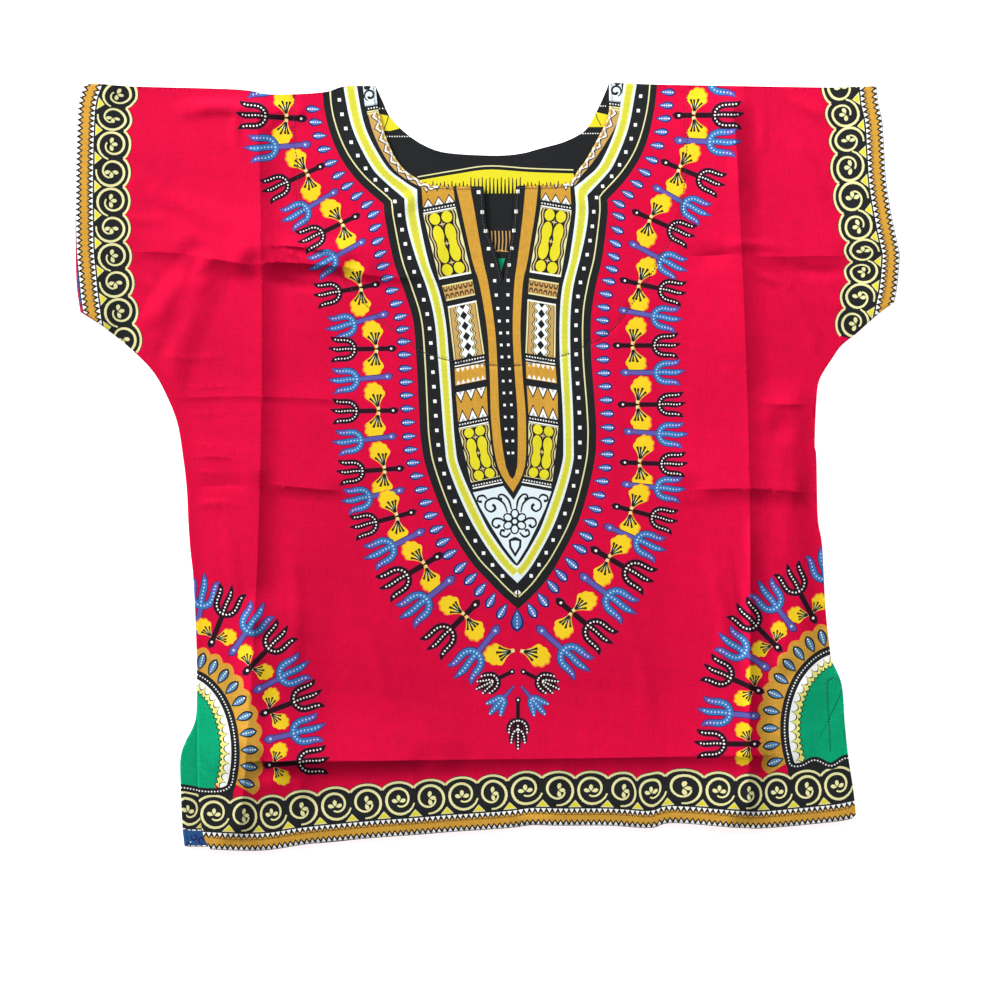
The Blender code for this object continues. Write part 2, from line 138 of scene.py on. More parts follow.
EDGES = {  # the places along each edge, counter-clockwise, from corner to corner
    "hem": [HEM_LEFT, *HEM, HEM_RIGHT],
    "back_hem": [BACK_HEM_LEFT, BACK_HEM_TUCK, *HEM[1:], HEM_RIGHT],
    "side_right": [HEM_RIGHT, *SIDE_RIGHT[::-1], CUFF_RIGHT_LOW],
    "cuff_right": [CUFF_RIGHT_LOW, *CUFF_RIGHT[::-1], SHOULDER_RIGHT_END],
    "shoulder_right": [SHOULDER_RIGHT_END, *SHOULDER_RIGHT[::-1], NECK_RIGHT],
    "neck_right": [NECK_RIGHT, *NECK_FRONT_RIGHT, SLIT_RIGHT],
    "slit_right": [SLIT_RIGHT, *SLIT_RIGHT_EDGE, SLIT_TIP],
    "slit_left": [SLIT_TIP, *SLIT_LEFT_EDGE[::-1], SLIT_LEFT],
    "neck_left": [SLIT_LEFT, *NECK_FRONT_LEFT[::-1], NECK_LEFT],
    "back_neck": [NECK_RIGHT, *NECK_BACK[::-1], NECK_LEFT],
    "shoulder_left": [NECK_LEFT, *SHOULDER_LEFT[::-1], SHOULDER_LEFT_END],
    "cuff_left": [SHOULDER_LEFT_END, *CUFF_LEFT, CUFF_LEFT_LOW],
    "back_cuff_left": [SHOULDER_LEFT_END, *BACK_CUFF_LEFT, BACK_CUFF_LEFT_LOW],
    "side_left": [CUFF_LEFT_LOW, *SIDE_LEFT, HEM_LEFT],
    "back_side_left": [BACK_CUFF_LEFT_LOW, *BACK_SIDE_LEFT, BACK_HEM_LEFT],
}
SHARED_EDGES = ("side_right", "cuff_right", "shoulder_right")
FRONT_EDGES = ("hem", *SHARED_EDGES, "neck_right", "slit_right", "slit_left", "neck_left",
               "shoulder_left", "cuff_left", "side_left")
BACK_EDGES = ("back_hem", *SHARED_EDGES, "back_neck", "shoulder_left", "back_cuff_left",
              "back_side_left")
EDGE_STEP = 4.0         # spacing of points along an edge
BEND_REACH = 26.0       # a run's direction is taken over this distance to both sides
COARSE = 12.0           # spacing of points on runs that are only measured to

# ---------------------------------------------------------------- print

# Stations down the print: the yoke's outer edge on both sides of its axis.
YOKE_COLUMNS = ("left_x", "left_y", "axis_x", "right_x", "right_y")
YOKE = [
    (-166.0, 402.0, 3.5, 171.5, 406.0), (-163.0, 356.0, 6.3, 167.3, 360.0),
    (-150.5, 316.0, 9.0, 157.5, 320.0), (-130.5, 286.5, 11.0, 141.0, 290.5),
    (-103.5, 262.0, 12.2, 119.6, 266.5), (-103.0, 251.0, 12.4, 120.4, 255.0),
    (-94.0, 206.0, 13.3, 115.0, 210.0), (-83.5, 176.0, 14.5, 108.2, 180.0),
    (-74.5, 146.0, 16.0, 103.8, 150.0), (-71.0, 106.0, 18.2, 103.8, 110.0),
    (-68.5, 56.0, 20.8, 107.6, 60.0), (-66.5, 26.0, 22.3, 108.8, 29.0),
    (-60.5, -4.0, 24.4, 105.8, -1.5), (-41.5, -54.0, 27.2, 92.0, -52.5),
    (-17.5, -94.0, 29.1, 71.5, -93.5), (0.5, -114.0, 29.8, 58.5, -114.0),
    (15.0, -129.0, 30.2, 45.3, -129.0), (30.5, -142.5, 30.5, 30.5, -142.5),
]
# Edges inside the yoke: (distance from the axis, level).
BAND_OUTER = [
    (150.0, 402.0), (148.0, 371.0), (142.0, 336.0), (127.0, 301.0), (115.0, 286.0),
    (95.0, 268.0), (94.5, 251.0), (91.0, 231.0), (84.0, 206.0), (74.5, 176.0),
    (69.0, 146.0), (67.5, 106.0), (65.5, 26.0), (62.5, -4.0), (44.0, -54.0),
    (20.5, -94.0), (0.0, -116.5),
]
BAND_INNER = [
    (136.5, 402.0), (134.5, 371.0), (128.5, 336.0), (111.5, 301.0), (96.0, 286.5),
    (82.0, 277.0), (81.0, 251.0), (72.5, 206.0), (63.0, 176.0), (58.0, 146.0),
    (56.5, 106.0), (55.0, 26.0), (51.0, -4.0), (31.0, -54.0), (20.0, -74.0),
    (6.0, -94.0), (0.0, -99.5),
]
COLUMN_OUTER = [
    (77.5, 284.0), (76.6, 250.5), (62.6, 188.0), (60.3, 183.0),
    (56.5, 167.0), (55.0, 160.5), (51.3, 101.0), (51.8, 74.5),
    (50.3, 35.7), (45.5, 0.0), (39.5, -25.0),
]
COLUMN_INNER = [
    (46.0, 284.0), (43.9, 256.7), (30.1, 194.5), (27.7, 174.7),
    (26.0, 165.3), (20.9, 112.0), (20.4, 79.3), (20.6, 45.5),
    (17.0, 10.0), (9.5, -17.0),
]
TONGUE_OUTER = [
    (42.5, 286.0), (42.5, 277.5), (28.7, 206.5), (22.4, 183.5),
    (17.0, 137.5), (16.7, 91.5), (17.6, 45.5), (13.7, -0.5), (0.0, -25.5),
]
TONGUE_INNER = [
    (29.0, 286.0), (28.5, 277.5), (17.7, 206.5), (13.4, 183.5),
    (9.0, 137.5), (8.7, 91.5), (9.1, 45.5), (5.7, -0.5), (0.0, -12.5),
]
SQUARE_SPREAD = [  # how far the tongue's white squares lie from the axis at each level
    (20.5, 274.5), (11.5, 214.5), (7.5, 195.5), (5.5, 164.5),
    (3.6, 136.5), (3.4, 30.0), (1.9, 7.5),
]

# Forks round the yoke: ink, then x, y and heading of the knob, on the left and the right.
FORKS = [
    ("blue", -184, 387, 184, 193, 388, -4),
    ("black", -186, 348, 177, 191, 351, 0),
    ("blue", -182, 322, 185, 192, 326, -3),
    ("black", -167, 300, 205, 178, 304, -23),
    ("blue", -154, 274, 211, 170, 278, -29),
    ("black", -132, 250, 206, 149, 254, -24),
    ("blue", -126, 224, 209, 146, 222, -28),
    ("black", -112, 182, 191, 137, 186, -13),
    ("blue", -104, 152, 196, 136, 156, -10),
    ("black", -96, 118, 181, 130, 121, 0),
    ("blue", -100, 90, 185, 138, 94, 0),
    ("black", -94, 56, 181, 135, 62, 0),
    ("blue", -96, 30, 187, 141, 35, -4),
    ("black", -88, -2, 184, 137, 4, -2),
    ("blue", -88, -24, 192, 139, -18, -6),
    ("black", -76, -46, 195, 129, -40, -15),
    ("blue", -68, -66, 207, 122, -61, -24),
    ("black", -50, -90, 211, 108, -84, -30),
    ("blue", -38, -114, 219, 97, -111, -37),
    ("black", -12, -138, 225, 73, -136, -40),
    ("blue", 8, -164, 231, 54, -164, -42),
]
TIP_DROPS = [  # x, y and heading of the drops that close the ring round the tip
    (20, -136, 239), (9, -125, 239), (0, -115, 229), (-9, -105, 223), (-19, -94, 221),
    (39, -135, -60), (49, -125, -54), (58, -112, -48), (66, -101, -45), (76, -90, -41),
]
CORNER_FORKS = [  # ink, x, y and heading of the forks round the two corner roundels
    ("blue", -291, -163, 80), ("black", -276, -176, 68), ("blue", -254, -184, 55),
    ("black", -240, -204, 46), ("blue", -228, -222, 27), ("black", -222, -246, 20),
    ("blue", -217, -272, 13), ("black", -218, -298, 5),
    ("blue", 344, -136, 103), ("black", 326, -152, 118), ("blue", 304, -160, 128),
    ("black", 290, -181, 135), ("blue", 277, -200, 146), ("black", 271, -224, 156),
    ("blue", 266, -249, 175), ("black", 267, -277, 180),
]
RIMS = [  # the dotted ring of each roundel, where it goes on along the hem border
    [(-322.0, -321.5), (-305.0, -321.5), (-290.0, -324.0), (-276.0, -325.0),
     (-263.0, -323.5), (-255.5, -317.0), (-253.5, -303.0)],
    [(300.5, -288.0), (303.0, -298.5), (313.5, -299.5), (327.5, -293.5), (343.5, -299.5),
     (358.5, -291.5), (372.0, -296.0)],
]
SPRIGS = [  # ink, x, y, heading, length of stem, kind of fingers
    ("black", 25.0, -205.0, 206, 17.0, "hand"), ("black", 35.4, -205.0, -26, 17.0, "hand"),
    ("blue", 26.0, -220.0, 229, 15.0, "bell"), ("blue", 34.0, -220.0, -50, 15.0, "bell"),
    ("black", 30.5, -233.0, -90, 21.0, "fir"),
]
FINGERS = {  # each finger's root, length, width and bend
    "hand": [(0, 14, 8.0, 1.2), (0, 14, -8.0, 1.2), (5, 15, 4.2, 1.6), (5, 15, -4.2, 1.6),
             (4, 20, 0.0, 0.0)],
    "bell": [(1, 15, 5.4, 1.75), (1, 15, -5.4, 1.75), (3, 19, 0.0, 0.0)],
    "fir": [(0, 13, 8.6, 1.05), (0, 13, -8.6, 1.05), (9, 14, 6.0, 1.15), (9, 14, -6.0, 1.15),
            (4, 25, 0.0, 0.0)],
}
ROUNDELS = [  # centre x, centre y, half width, half height, first and last angle
    (-304.5, -285.5, 53.0, 80.0, 100, -32), (355.5, -262.0, 58.5, 80.0, 80, 214),
]


# ---------------------------------------------------------------- flat geometry

def pair(x, y):
    """Places from their X and their Y; either may be one number for all."""
    return np.stack(np.broadcast_arrays(x, y), -1)


def unit(ways):
    """Directions made one long."""
    return ways / np.maximum(np.linalg.norm(ways, axis=1), 1e-9)[:, None]


def left_of(ways):
    """Directions turned a quarter to the left."""
    return pair(-ways[:, 1], ways[:, 0])


def lengths_along(run):
    """Length from a run's start to each of its points."""
    return np.concatenate([[0], np.cumsum(np.linalg.norm(np.diff(run, axis=0), axis=1))])


def read(at, lengths, rows):
    """Rows of X and Y, read at places along them."""
    return pair(np.interp(at, lengths, rows[:, 0]), np.interp(at, lengths, rows[:, 1]))


def smooth_run(points, step):
    """Points along a smooth curve through the given ones, about one step apart."""
    ends = [points[0]] + list(points) + [points[-1]]
    out = []
    for i in range(1, len(ends) - 2):
        before, here, there, after = (np.array(ends[k], float) for k in range(i - 1, i + 3))
        count = max(1, round(float(np.linalg.norm(there - here)) / step))
        for k in range(count):
            t = k / count
            leave, arrive = (there - before) * 0.5, (after - here) * 0.5
            out.append(here * (2 * t**3 - 3 * t**2 + 1) + leave * (t**3 - 2 * t**2 + t)
                       + there * (3 * t**2 - 2 * t**3) + arrive * (t**3 - t**2))
    return np.array(out)


def whole_run(places, step=EDGE_STEP):
    """A smooth run through the given places, its end included."""
    return np.vstack([smooth_run(places, step), [places[-1]]])


def outline_of(names, step=EDGE_STEP):
    """A panel's edge, counter-clockwise from the hem's left corner."""
    return np.vstack([smooth_run(EDGES[name], step) for name in names])


RUNS = {name: whole_run(places) for name, places in EDGES.items()}


def run_map(run, inward=1.0):
    """Places (s, d): s along a run, d to the left of it, or to its right.

    Its direction is taken over a reach to both sides, so that bends stay smooth.
    """
    lengths = lengths_along(run)
    total = lengths[-1]
    ahead, behind = (read(lengths + way * BEND_REACH, lengths, run) for way in (1, -1))
    steps = unit(ahead - behind)
    aside = left_of(steps) * inward

    def put(points):
        s, d = np.asarray(points, float).T
        held = s.clip(0, total)
        base, side, ahead = (read(held, lengths, rows) for rows in (run, aside, steps))
        return base + side * d[:, None] + ahead * (s - held)[:, None]

    put.total = total
    return put


def placed(x, y, turn, size=1.0, flip=1.0):
    """Places a motif's points at (x, y), turned by so many degrees."""
    c, s = math.cos(math.radians(turn)), math.sin(math.radians(turn))

    def put(points):
        p = np.asarray(points, float) * size * np.array([1.0, flip])
        return pair(x + c * p[:, 0] - s * p[:, 1], y + s * p[:, 0] + c * p[:, 1])

    return put


def smooth_table(table, step, corner=None):
    """A table's rows with smooth ones between them, sharp at one corner row."""
    parts = [table] if corner is None else [table[:corner + 1], table[corner:]]
    return np.vstack([smooth_run(part, step) for part in parts] + [[table[-1]]])


YOKE_CORNER, BAND_CORNER = 4, 5      # rows of the tables where the edges turn sharply
YOKE_LEAST = 6.0        # at the yoke's tip its half width counts as no less
YOKE_DENSE = smooth_table(YOKE, 8.0, YOKE_CORNER)
YOKE_ROWS = {name: YOKE_DENSE[::-1, i] for i, name in enumerate(YOKE_COLUMNS)}


def yoke_row(name, level):
    """A column of the yoke table at a level of the print."""
    return np.interp(level, YOKE_ROWS["left_y"], YOKE_ROWS[name])


def yoke_map(side):
    """Places (u, v): u from the print's axis to the left or right, v its level."""
    def put(points):
        u, v = np.asarray(points, float).T
        axis_x, left_x = yoke_row("axis_x", v), yoke_row("left_x", v)
        if side < 0:
            return pair(axis_x - u, v)
        share = u / np.maximum(axis_x - left_x, YOKE_LEAST)
        right_x, right_y = yoke_row("right_x", v), yoke_row("right_y", v)
        reach = np.maximum(right_x - axis_x, YOKE_LEAST)
        return pair(axis_x + share * reach, v + share * (right_y - v))

    return put


def oval(cx, cy, rx, ry=None, sides=8, turn=0.0):
    """An ellipse's corners."""
    a = np.arange(sides) * 2 * math.pi / sides + 0.4
    return placed(cx, cy, turn)(pair(rx * np.cos(a), (rx if ry is None else ry) * np.sin(a)))


def slab(x0, y0, x1, y1, step=None):
    """A rectangle's corners, with points along its long sides if a step is given."""
    count = max(2, int(abs(x1 - x0) / step) + 1) if step else 2
    xs = np.linspace(x0, x1, count)
    return np.vstack([pair(xs, y0), pair(xs[::-1], y1)])


def moved_aside(path, width):
    """A path moved to its left by a width."""
    return path + left_of(unit(np.gradient(path, axis=0))) * width


def ribbon(path, width):
    """The outline of a stroke of the given width, or widths, along a path."""
    path = np.asarray(path, float)
    half = np.broadcast_to(np.asarray(width, float) / 2, len(path))[:, None]
    return np.vstack([moved_aside(path, half), moved_aside(path, -half)[::-1]])


def curve(points, count):
    """So many points on a smooth curve through the given ones."""
    dense = whole_run([np.asarray(p, float) for p in points], 0.4)
    lengths = lengths_along(dense)
    return read(np.linspace(0, lengths[-1], count), lengths, dense)


def widths_for(path, widths):
    """Widths named at even places along a path, for each of its points."""
    lengths = lengths_along(path)
    return np.interp(lengths / max(lengths[-1], 1e-9), np.linspace(0, 1, len(widths)), widths)


def spiral(cx, cy, radii, start, sweep, count):
    """A path that turns from a start angle, its radius read from even places."""
    t = np.linspace(0, 1, count)
    r = np.interp(t, np.linspace(0, 1, len(radii)), radii)
    a = np.radians(start + sweep * t)
    return pair(cx + r * np.cos(a), cy + r * np.sin(a))


LEAST_GAP, LEAST_AREA = 0.02, 0.05       # points and shapes below these are left out


class Sheet:
    """Shapes of ink in the order they are printed."""

    def __init__(self):
        self.shapes = []

    def paint(self, ink, points, put=None):
        """Adds a closed shape, counter-clockwise."""
        points = np.asarray(points, float)
        if put is not None:
            points = put(points)
        apart = np.linalg.norm(points - np.roll(points, 1, axis=0), axis=1)
        points = points[apart > LEAST_GAP]
        if len(points) < 3:
            return
        x, y = points.T
        area = np.sum(x * np.roll(y, -1) - np.roll(x, -1) * y) / 2
        if abs(area) > LEAST_AREA:
            self.shapes.append((ink, points if area > 0 else points[::-1]))

    def stroke(self, ink, path, width, put=None):
        """Adds a stroke along a path."""
        self.paint(ink, ribbon(path, width), put)

    def dots(self, ink, centres, radius, put=None):
        """Adds a round dot at each centre."""
        for x, y in np.asarray(centres, float):
            self.paint(ink, oval(x, y, radius, sides=6), put)


def spots_along(path, pitch, inset=0.0):
    """Evenly spaced places along a path."""
    lengths = lengths_along(path)
    room = lengths[-1] - 2 * inset
    at = inset + np.linspace(0, room, max(2, round(room / pitch) + 1))
    return read(at, lengths, np.asarray(path))


# ---------------------------------------------------------------- motifs

PRONG = [(4.0, 0.0), (4.7, 3.6), (7.2, 7.0), (11.0, 8.9), (16.0, 9.3), (21.0, 9.4),
         (25.0, 10.4), (28.0, 12.8)]
PRONG_WIDTHS = (5.7, 5.7, 5.7, 5.7, 5.7, 5.4, 4.6, 0.5)
STEM_BLACK, STEM_BLUE = 32.8, 26.6
CORNER_STEM_BLACK, CORNER_STEM_BLUE = 22.8, 17.0
FORK_HEAD = 12.0        # from the end of a fork's stem to the middle of its head
DOT_PITCH = 3.05


def fork(sheet, put, ink, stem):
    """A three-pronged fork: knob at the start, stem, round head, prongs."""
    rim, fill, shaft, dot, grow, reach = {
        "black": ("mauve", "soot", "soot", "white", 1.1, 30.5),
        "blue": ("navy", "violet", "violet", "sky", 1.5, 33.0),
    }[ink]
    upper = curve([(stem + x, y) for x, y in PRONG], 9)
    lower = upper[::-1] * np.array([1.0, -1.0])
    bow = np.vstack([lower[:-1], upper])
    bow_widths = widths_for(bow, PRONG_WIDTHS[::-1] + PRONG_WIDTHS[1:])
    middle = curve([(stem + 3, 0), (stem + 12, 0.6), (stem + 22, 0.0), (stem + reach, 2.0)], 7)
    middle_widths = widths_for(middle, (4.8, 5.3, 5.5, 5.2, 0.5))
    shaft_path = curve([(-1.0, 0), (stem * 0.5, 0), (stem + 3, 0)], 3)
    knob = np.array([(-4.8, 0.4), (-2.6, 2.5), (0.4, 3.0), (3.0, 2.4), (3.4, -2.0),
                     (0.4, -3.0), (-2.6, -2.5)])
    for handle, head, extra in ((rim, rim, grow), (shaft, fill, 0.0)):
        sheet.stroke(handle, shaft_path, 4.2 + extra, put)
        sheet.paint(handle, knob * (1.08 + extra * 0.16), put)
        sheet.stroke(head, bow, bow_widths + extra, put)
        sheet.stroke(head, middle, middle_widths + extra, put)
    if ink == "blue":
        sheet.stroke("azure", bow[3:-3], bow_widths[3:-3], put)
        sheet.stroke("azure", middle[:6], middle_widths[:6], put)
    sheet.dots(dot, [(0.4, 0.0)], 1.25, put)
    sheet.dots(dot, spots_along(bow, DOT_PITCH, 5.6), 0.86, put)
    sheet.dots(dot, spots_along(middle[:-1], DOT_PITCH, 1.6), 0.84, put)


def frond(sheet, put, ink, stem, fingers):
    """A small sprig: a stem, and curved fingers with a row of dots in each."""
    rim, fill, grip, dot = {"black": ("mauve", "soot", "soot", "white"),
                            "blue": ("navy", "azure", "violet", "sky")}[ink]
    knob = 1.0 if ink == "black" else 0.3
    shaft = curve([(0.0, 0), (stem * 0.5, 0), (stem + 4.0, 0)], 4)
    thick = widths_for(shaft, (3.4 * knob, 3.4, 3.6))
    paths = [curve([(stem + root, 0), (stem + root + long * 0.12, wide * 0.62),
                    (stem + root + long * 0.5, wide), (stem + root + long, wide * bend)], 8)
             for root, long, wide, bend in fingers]
    for handle, head, extra in ((rim, rim, 1.3), (grip, fill, 0.0)):
        sheet.paint(head, oval(stem + 7.0, 0, 7.0 + extra * 0.5, 5.5 + extra * 0.5), put)
        sheet.stroke(handle, shaft, thick + extra, put)
        sheet.paint(handle, oval(0.5, 0, 2.9 * knob + extra * 0.4), put)
        for path in paths:
            sheet.stroke(head, path, widths_for(path, (5.4, 5.8, 5.8, 5.4, 2.0)) + extra, put)
    sheet.dots(dot, [(0.5, 0.0)], 1.1 * knob, put)
    for path in paths:
        sheet.dots(dot, spots_along(path, DOT_PITCH, 1.2), 0.95, put)


def flower(sheet, put):
    """A fan of yellow petals on a narrow neck, with black stamens."""
    lobes = 6
    arc = np.radians(np.linspace(-112, 112, lobes * 5 + 1))
    wave = 0.96 + 0.13 * np.abs(np.sin(np.linspace(0, lobes * math.pi, len(arc))))
    wave = wave * (1 + 0.05 * np.cos(arc * 2.3 + 0.6))
    fan = pair(16.4 + 10.6 * wave * np.cos(arc), 9.7 * wave * np.sin(arc))
    neck = [(0.0, 1.3), (4.5, 1.9), (9.0, 4.9)]
    shape = np.vstack([fan, neck[::-1], [(x, -y) for x, y in neck]])
    middle = np.array([15.0, 0.0])
    sheet.paint("flame", (shape - middle) * 1.05 + middle + [0.6, -0.8], put)
    sheet.paint("yellow", shape, put)
    sheet.paint("cream", [(0.0, 1.1), (4.5, 1.7), (9.0, 4.2), (12.5, 0), (9.0, -4.2),
                          (4.5, -1.7), (0.0, -1.1)], put)
    for end, long in ((-6.4, 13.6), (-2.2, 17.0), (2.4, 15.4), (6.0, 14.8)):
        path = curve([(3.2, end * 0.12), (long * 0.60, end * 0.44), (long, end)], 5)
        sheet.stroke("black", path, widths_for(path, (0.9, 1.35, 1.4, 2.7)), put)


def drop(sheet, put, length=16.8, width=8.4, ink="dropblue", rim="navy", fat=1.5):
    """A drop with a dark rim and a row of light dots, fatter toward its far end."""
    t = np.linspace(0, 1, 9)
    half = np.abs(np.sin(math.pi * t**fat))**0.68 / 2
    body = np.vstack([pair(t, half), pair(t, -half)[-2:0:-1]])
    sheet.paint(rim, body * [length, width], put)
    inner = (body - [0.5, 0]) * [0.82, 0.66] + [0.49, 0]
    sheet.paint(ink, inner * [length, width], put)
    for at, size in ((0.26, 0.66), (0.4, 0.74), (0.54, 0.8), (0.67, 0.84), (0.81, 0.92)):
        sheet.paint("white", oval(length * at, 0, size * 1.1, size * 0.95, sides=5), put)


def teeth(sheet, put, ink, start, end, low, high, count):
    """A row of triangles between two levels: their bases on the first level."""
    pitch = (end - start) / count
    for i in range(count):
        x = start + (i + 0.5) * pitch
        half = pitch * 0.42
        sheet.paint(ink, [(x - half, low), (x + half, low), (x, high)], put)


def zigzag(start, end, low, high, count):
    """A path that goes up and down so many times."""
    xs = np.linspace(start, end, count * 2 + 1)
    return pair(xs, np.where(np.arange(len(xs)) % 2, high, low))


# ---------------------------------------------------------------- borders

STRIP = 17.6            # orange strip along the edge
SCALLOP_FOOT = 42.4     # foot of the scallops over the scrolls
SCALLOP_HALF, SCALLOP_HIGH = 0.577, 13.2     # half width in pitches, and height
SCROLL_MIDDLE = 36.0
SCROLL_PITCH, CUFF_SCROLL_PITCH = 32.2, 29.0
BORDER_START = -14.0    # the hem's border starts this far before its corner
TOOTH_PITCH = 5.5


def scroll_border(sheet, run, start, end, pitch=SCROLL_PITCH):
    """The border along an edge: toothed orange strip, then a band of scrolls."""
    put = run_map(run)
    count = max(1, round((end - start) / pitch))
    pitch = (end - start) / count
    middles = start + (np.arange(count) + 0.5) * pitch

    def arch(middle, reach, base):
        a = np.radians(np.linspace(90 + reach, 90 - reach, 9))
        return pair(middle + pitch * SCALLOP_HALF * np.cos(a), base + SCALLOP_HIGH * np.sin(a))

    scallops = np.vstack([arch(middle, 60, SCALLOP_FOOT) for middle in middles])
    feet = np.arange(start - 2.0, end + 2.0, 6.0)
    sheet.paint("black", np.vstack([pair(feet, -3.0), scallops[::-1]]), put)
    for i, middle in enumerate(middles):
        sheet.stroke("cream", arch(middle, 59, SCALLOP_FOOT - 2.0), 2.3, put)
        scroll(sheet, put, middle, SCROLL_MIDDLE, i % 2)
        edge = start + i * pitch
        for ink, half, foot, tip in (("cream", 6.6, 0.9, 8.2), ("lemon", 4.6, 1.9, 7.0)):
            sheet.paint(ink, [(edge - half, STRIP + foot), (edge + half, STRIP + foot),
                              (edge + 0.2, STRIP + tip)], put)
    toothed_strip(sheet, put, start, end)


def scroll(sheet, put, x, y, kind):
    """A cream spiral round a three-leaved sprig, turned one way or the other."""
    radii = (16.0, 14.2, 12.4, 11.8, 11.2, 9.0, 5.6)
    start, sweep = ((-14, -452), (-100, 440))[kind]
    path = spiral(x, y, radii, start, sweep, 26)
    sheet.stroke("cream", path, widths_for(path, (1.6, 2.6, 2.6, 2.6, 2.2, 1.6)), put)
    base, turn = ((x, y - 2.2), 90) if kind == 0 else ((x - 1.5, y - 0.5), 0)
    for spread in (-72, 0, 72):
        a = math.radians(turn + spread)
        leaf = placed(base[0] + 0.8 * math.cos(a), base[1] + 0.8 * math.sin(a), turn + spread)
        outline = leaf([(0, 0), (2.6, 1.9), (5.2, 1.8), (6.6, 0), (5.2, -1.8), (2.6, -1.9)])
        sheet.paint("cream", outline, put)


def toothed_strip(sheet, put, start, end):
    """An orange strip between two rows of white teeth with black zigzags."""
    count = round((end - start) / TOOTH_PITCH)
    lower = zigzag(start - 2, end + 2, 3.2, 6.6, count)
    upper = zigzag(start - 2, end + 2, 14.0, 10.8, count)
    sheet.paint("orange", np.vstack([lower, upper[::-1]]), put)
    teeth(sheet, put, "white", start - 2, end + 2, 0.5, 4.6, count)
    teeth(sheet, put, "white", start - 2, end + 2, STRIP - 0.6, 12.6, count)


# ---------------------------------------------------------------- yoke

def edge_table(table, levels):
    """Distance from the axis at each level, read from a table."""
    rows = np.array(sorted(table, key=lambda row: row[1]))
    return np.interp(levels, rows[:, 1], rows[:, 0])


def both_sides(rows, grow=0.0):
    """A closed shape across both sides of the print between the axis and an edge."""
    rows = rows + [grow, 0]
    return np.vstack([yoke_map(-1)(rows), yoke_map(1)(rows)[::-1]])


def yoke_edge_table():
    """The yoke's outer edge as (distance from the axis, level)."""
    return pair(YOKE_DENSE[:, 2] - YOKE_DENSE[:, 0], YOKE_DENSE[:, 1])


def draw_yoke(sheet):
    """The black yoke with its lines, bands and squares down to the tip."""
    edge = yoke_edge_table()
    outer = smooth_table(BAND_OUTER, 3.0, BAND_CORNER)
    inner = smooth_table(BAND_INNER, 3.0, BAND_CORNER)
    sheet.paint("black", both_sides(edge))
    squares = spots_along(between(edge, outer, 0.72), 14.4, 6.0)[:-1]
    for side in (-1, 1):
        put = yoke_map(side)
        line = moved_aside(edge, -8.5 + ease((edge[:, 1:] - 300) / 60))
        sheet.stroke("cream", line[line[:, 0] > 0.3], 1.4, put)
        for x, y in squares:
            sheet.paint("white", oval(x, y, 2.4, sides=4, turn=20), put)
    tip_y = BAND_OUTER[-1][1] - 9.5
    axis = float(yoke_row("axis_x", tip_y))
    for way in (-1, 1):
        sheet.paint("white", [(axis + way * 0.7, tip_y + 2.6), (axis + way * 3.4, tip_y),
                              (axis + way * 0.7, tip_y - 2.6)])
    sheet.paint("pale", both_sides(outer))
    middle = spots_along(between(outer, inner, 0.5), 2.1)
    middle = middle[middle[:, 0] > 0.2]
    wide = np.linalg.norm(between(middle, inner, 1.0) - middle, axis=1) * 1.16
    ragged = wide * np.where(np.arange(len(middle)) % 2, 1.22, 0.98)
    wavy = wide * (0.82 + 0.13 * np.sin(np.arange(len(middle)) * 2.2))
    for side in (-1, 1):
        sheet.stroke("lemonade", middle, ragged, yoke_map(side))
        sheet.stroke("citron", middle, wavy, yoke_map(side))
    sheet.paint("black", both_sides(inner))


def between(outer, inner, share):
    """A path at a share of the way from an edge to the nearest places of another."""
    dense = spots_along(inner, 0.8)
    gap = np.linalg.norm(outer[:, None, :] - dense[None, :, :], axis=2)
    return outer * (1 - share) + dense[np.argmin(gap, axis=1)] * share


def column_map(side):
    """Places (a, v) on a side column: a from its outer to its inner edge."""
    inner_map = yoke_map(side)

    def put(points):
        a, v = np.asarray(points, float).T
        level = v - 3.1 + 6.2 * a
        u = edge_table(COLUMN_OUTER, level) * (1 - a) + edge_table(COLUMN_INNER, level) * a
        return inner_map(pair(u, level))

    return put


def between_sides(inset, ys):
    """A tile's shape whose sides are moved in by so much at each level."""
    return np.vstack([pair(inset, ys), pair(1 - inset, ys)[::-1]])


def bean_panel(sheet, put, top, low):
    """Yellow beans in two stacks inside wavy lines."""
    mid, tall = (top + low) / 2, top - low
    sheet.paint("cream", slab(0.0, low, 1.0, top), put)
    for ink, inset in (("black", 0.02), ("sand", 0.065), ("black", 0.105)):
        ys = np.linspace(low + 0.6, top - 0.6, 41)
        wave = 0.028 * np.cos((np.abs(ys - mid) / tall - 0.15) / 0.26 * 2 * math.pi)
        sheet.paint(ink, between_sides(inset + 0.03 - wave, ys), put)
    for a in (0.315, 0.685):
        for level, high in ((0.4, 0.092), (0.15, 0.148), (-0.15, 0.148), (-0.4, 0.092)):
            sheet.paint("lemon", oval(a, mid + level * tall, 0.162, high * tall, 14), put)
        sheet.paint("lemon", slab(a - 0.118, mid - 0.08 * tall, a + 0.118, mid + 0.08 * tall), put)
    for level, size in ((top - 0.2 * tall, 1.0), (mid, 0.9), (low + 0.2 * tall, 1.0)):
        tips = [(0.5 + 0.10 * size, level), (0.515, level + 1.0), (0.5, level + 3.4 * size),
                (0.485, level + 1.0), (0.5 - 0.10 * size, level), (0.485, level - 1.0),
                (0.5, level - 3.4 * size), (0.515, level - 1.0)]
        sheet.paint("sand", tips, put)


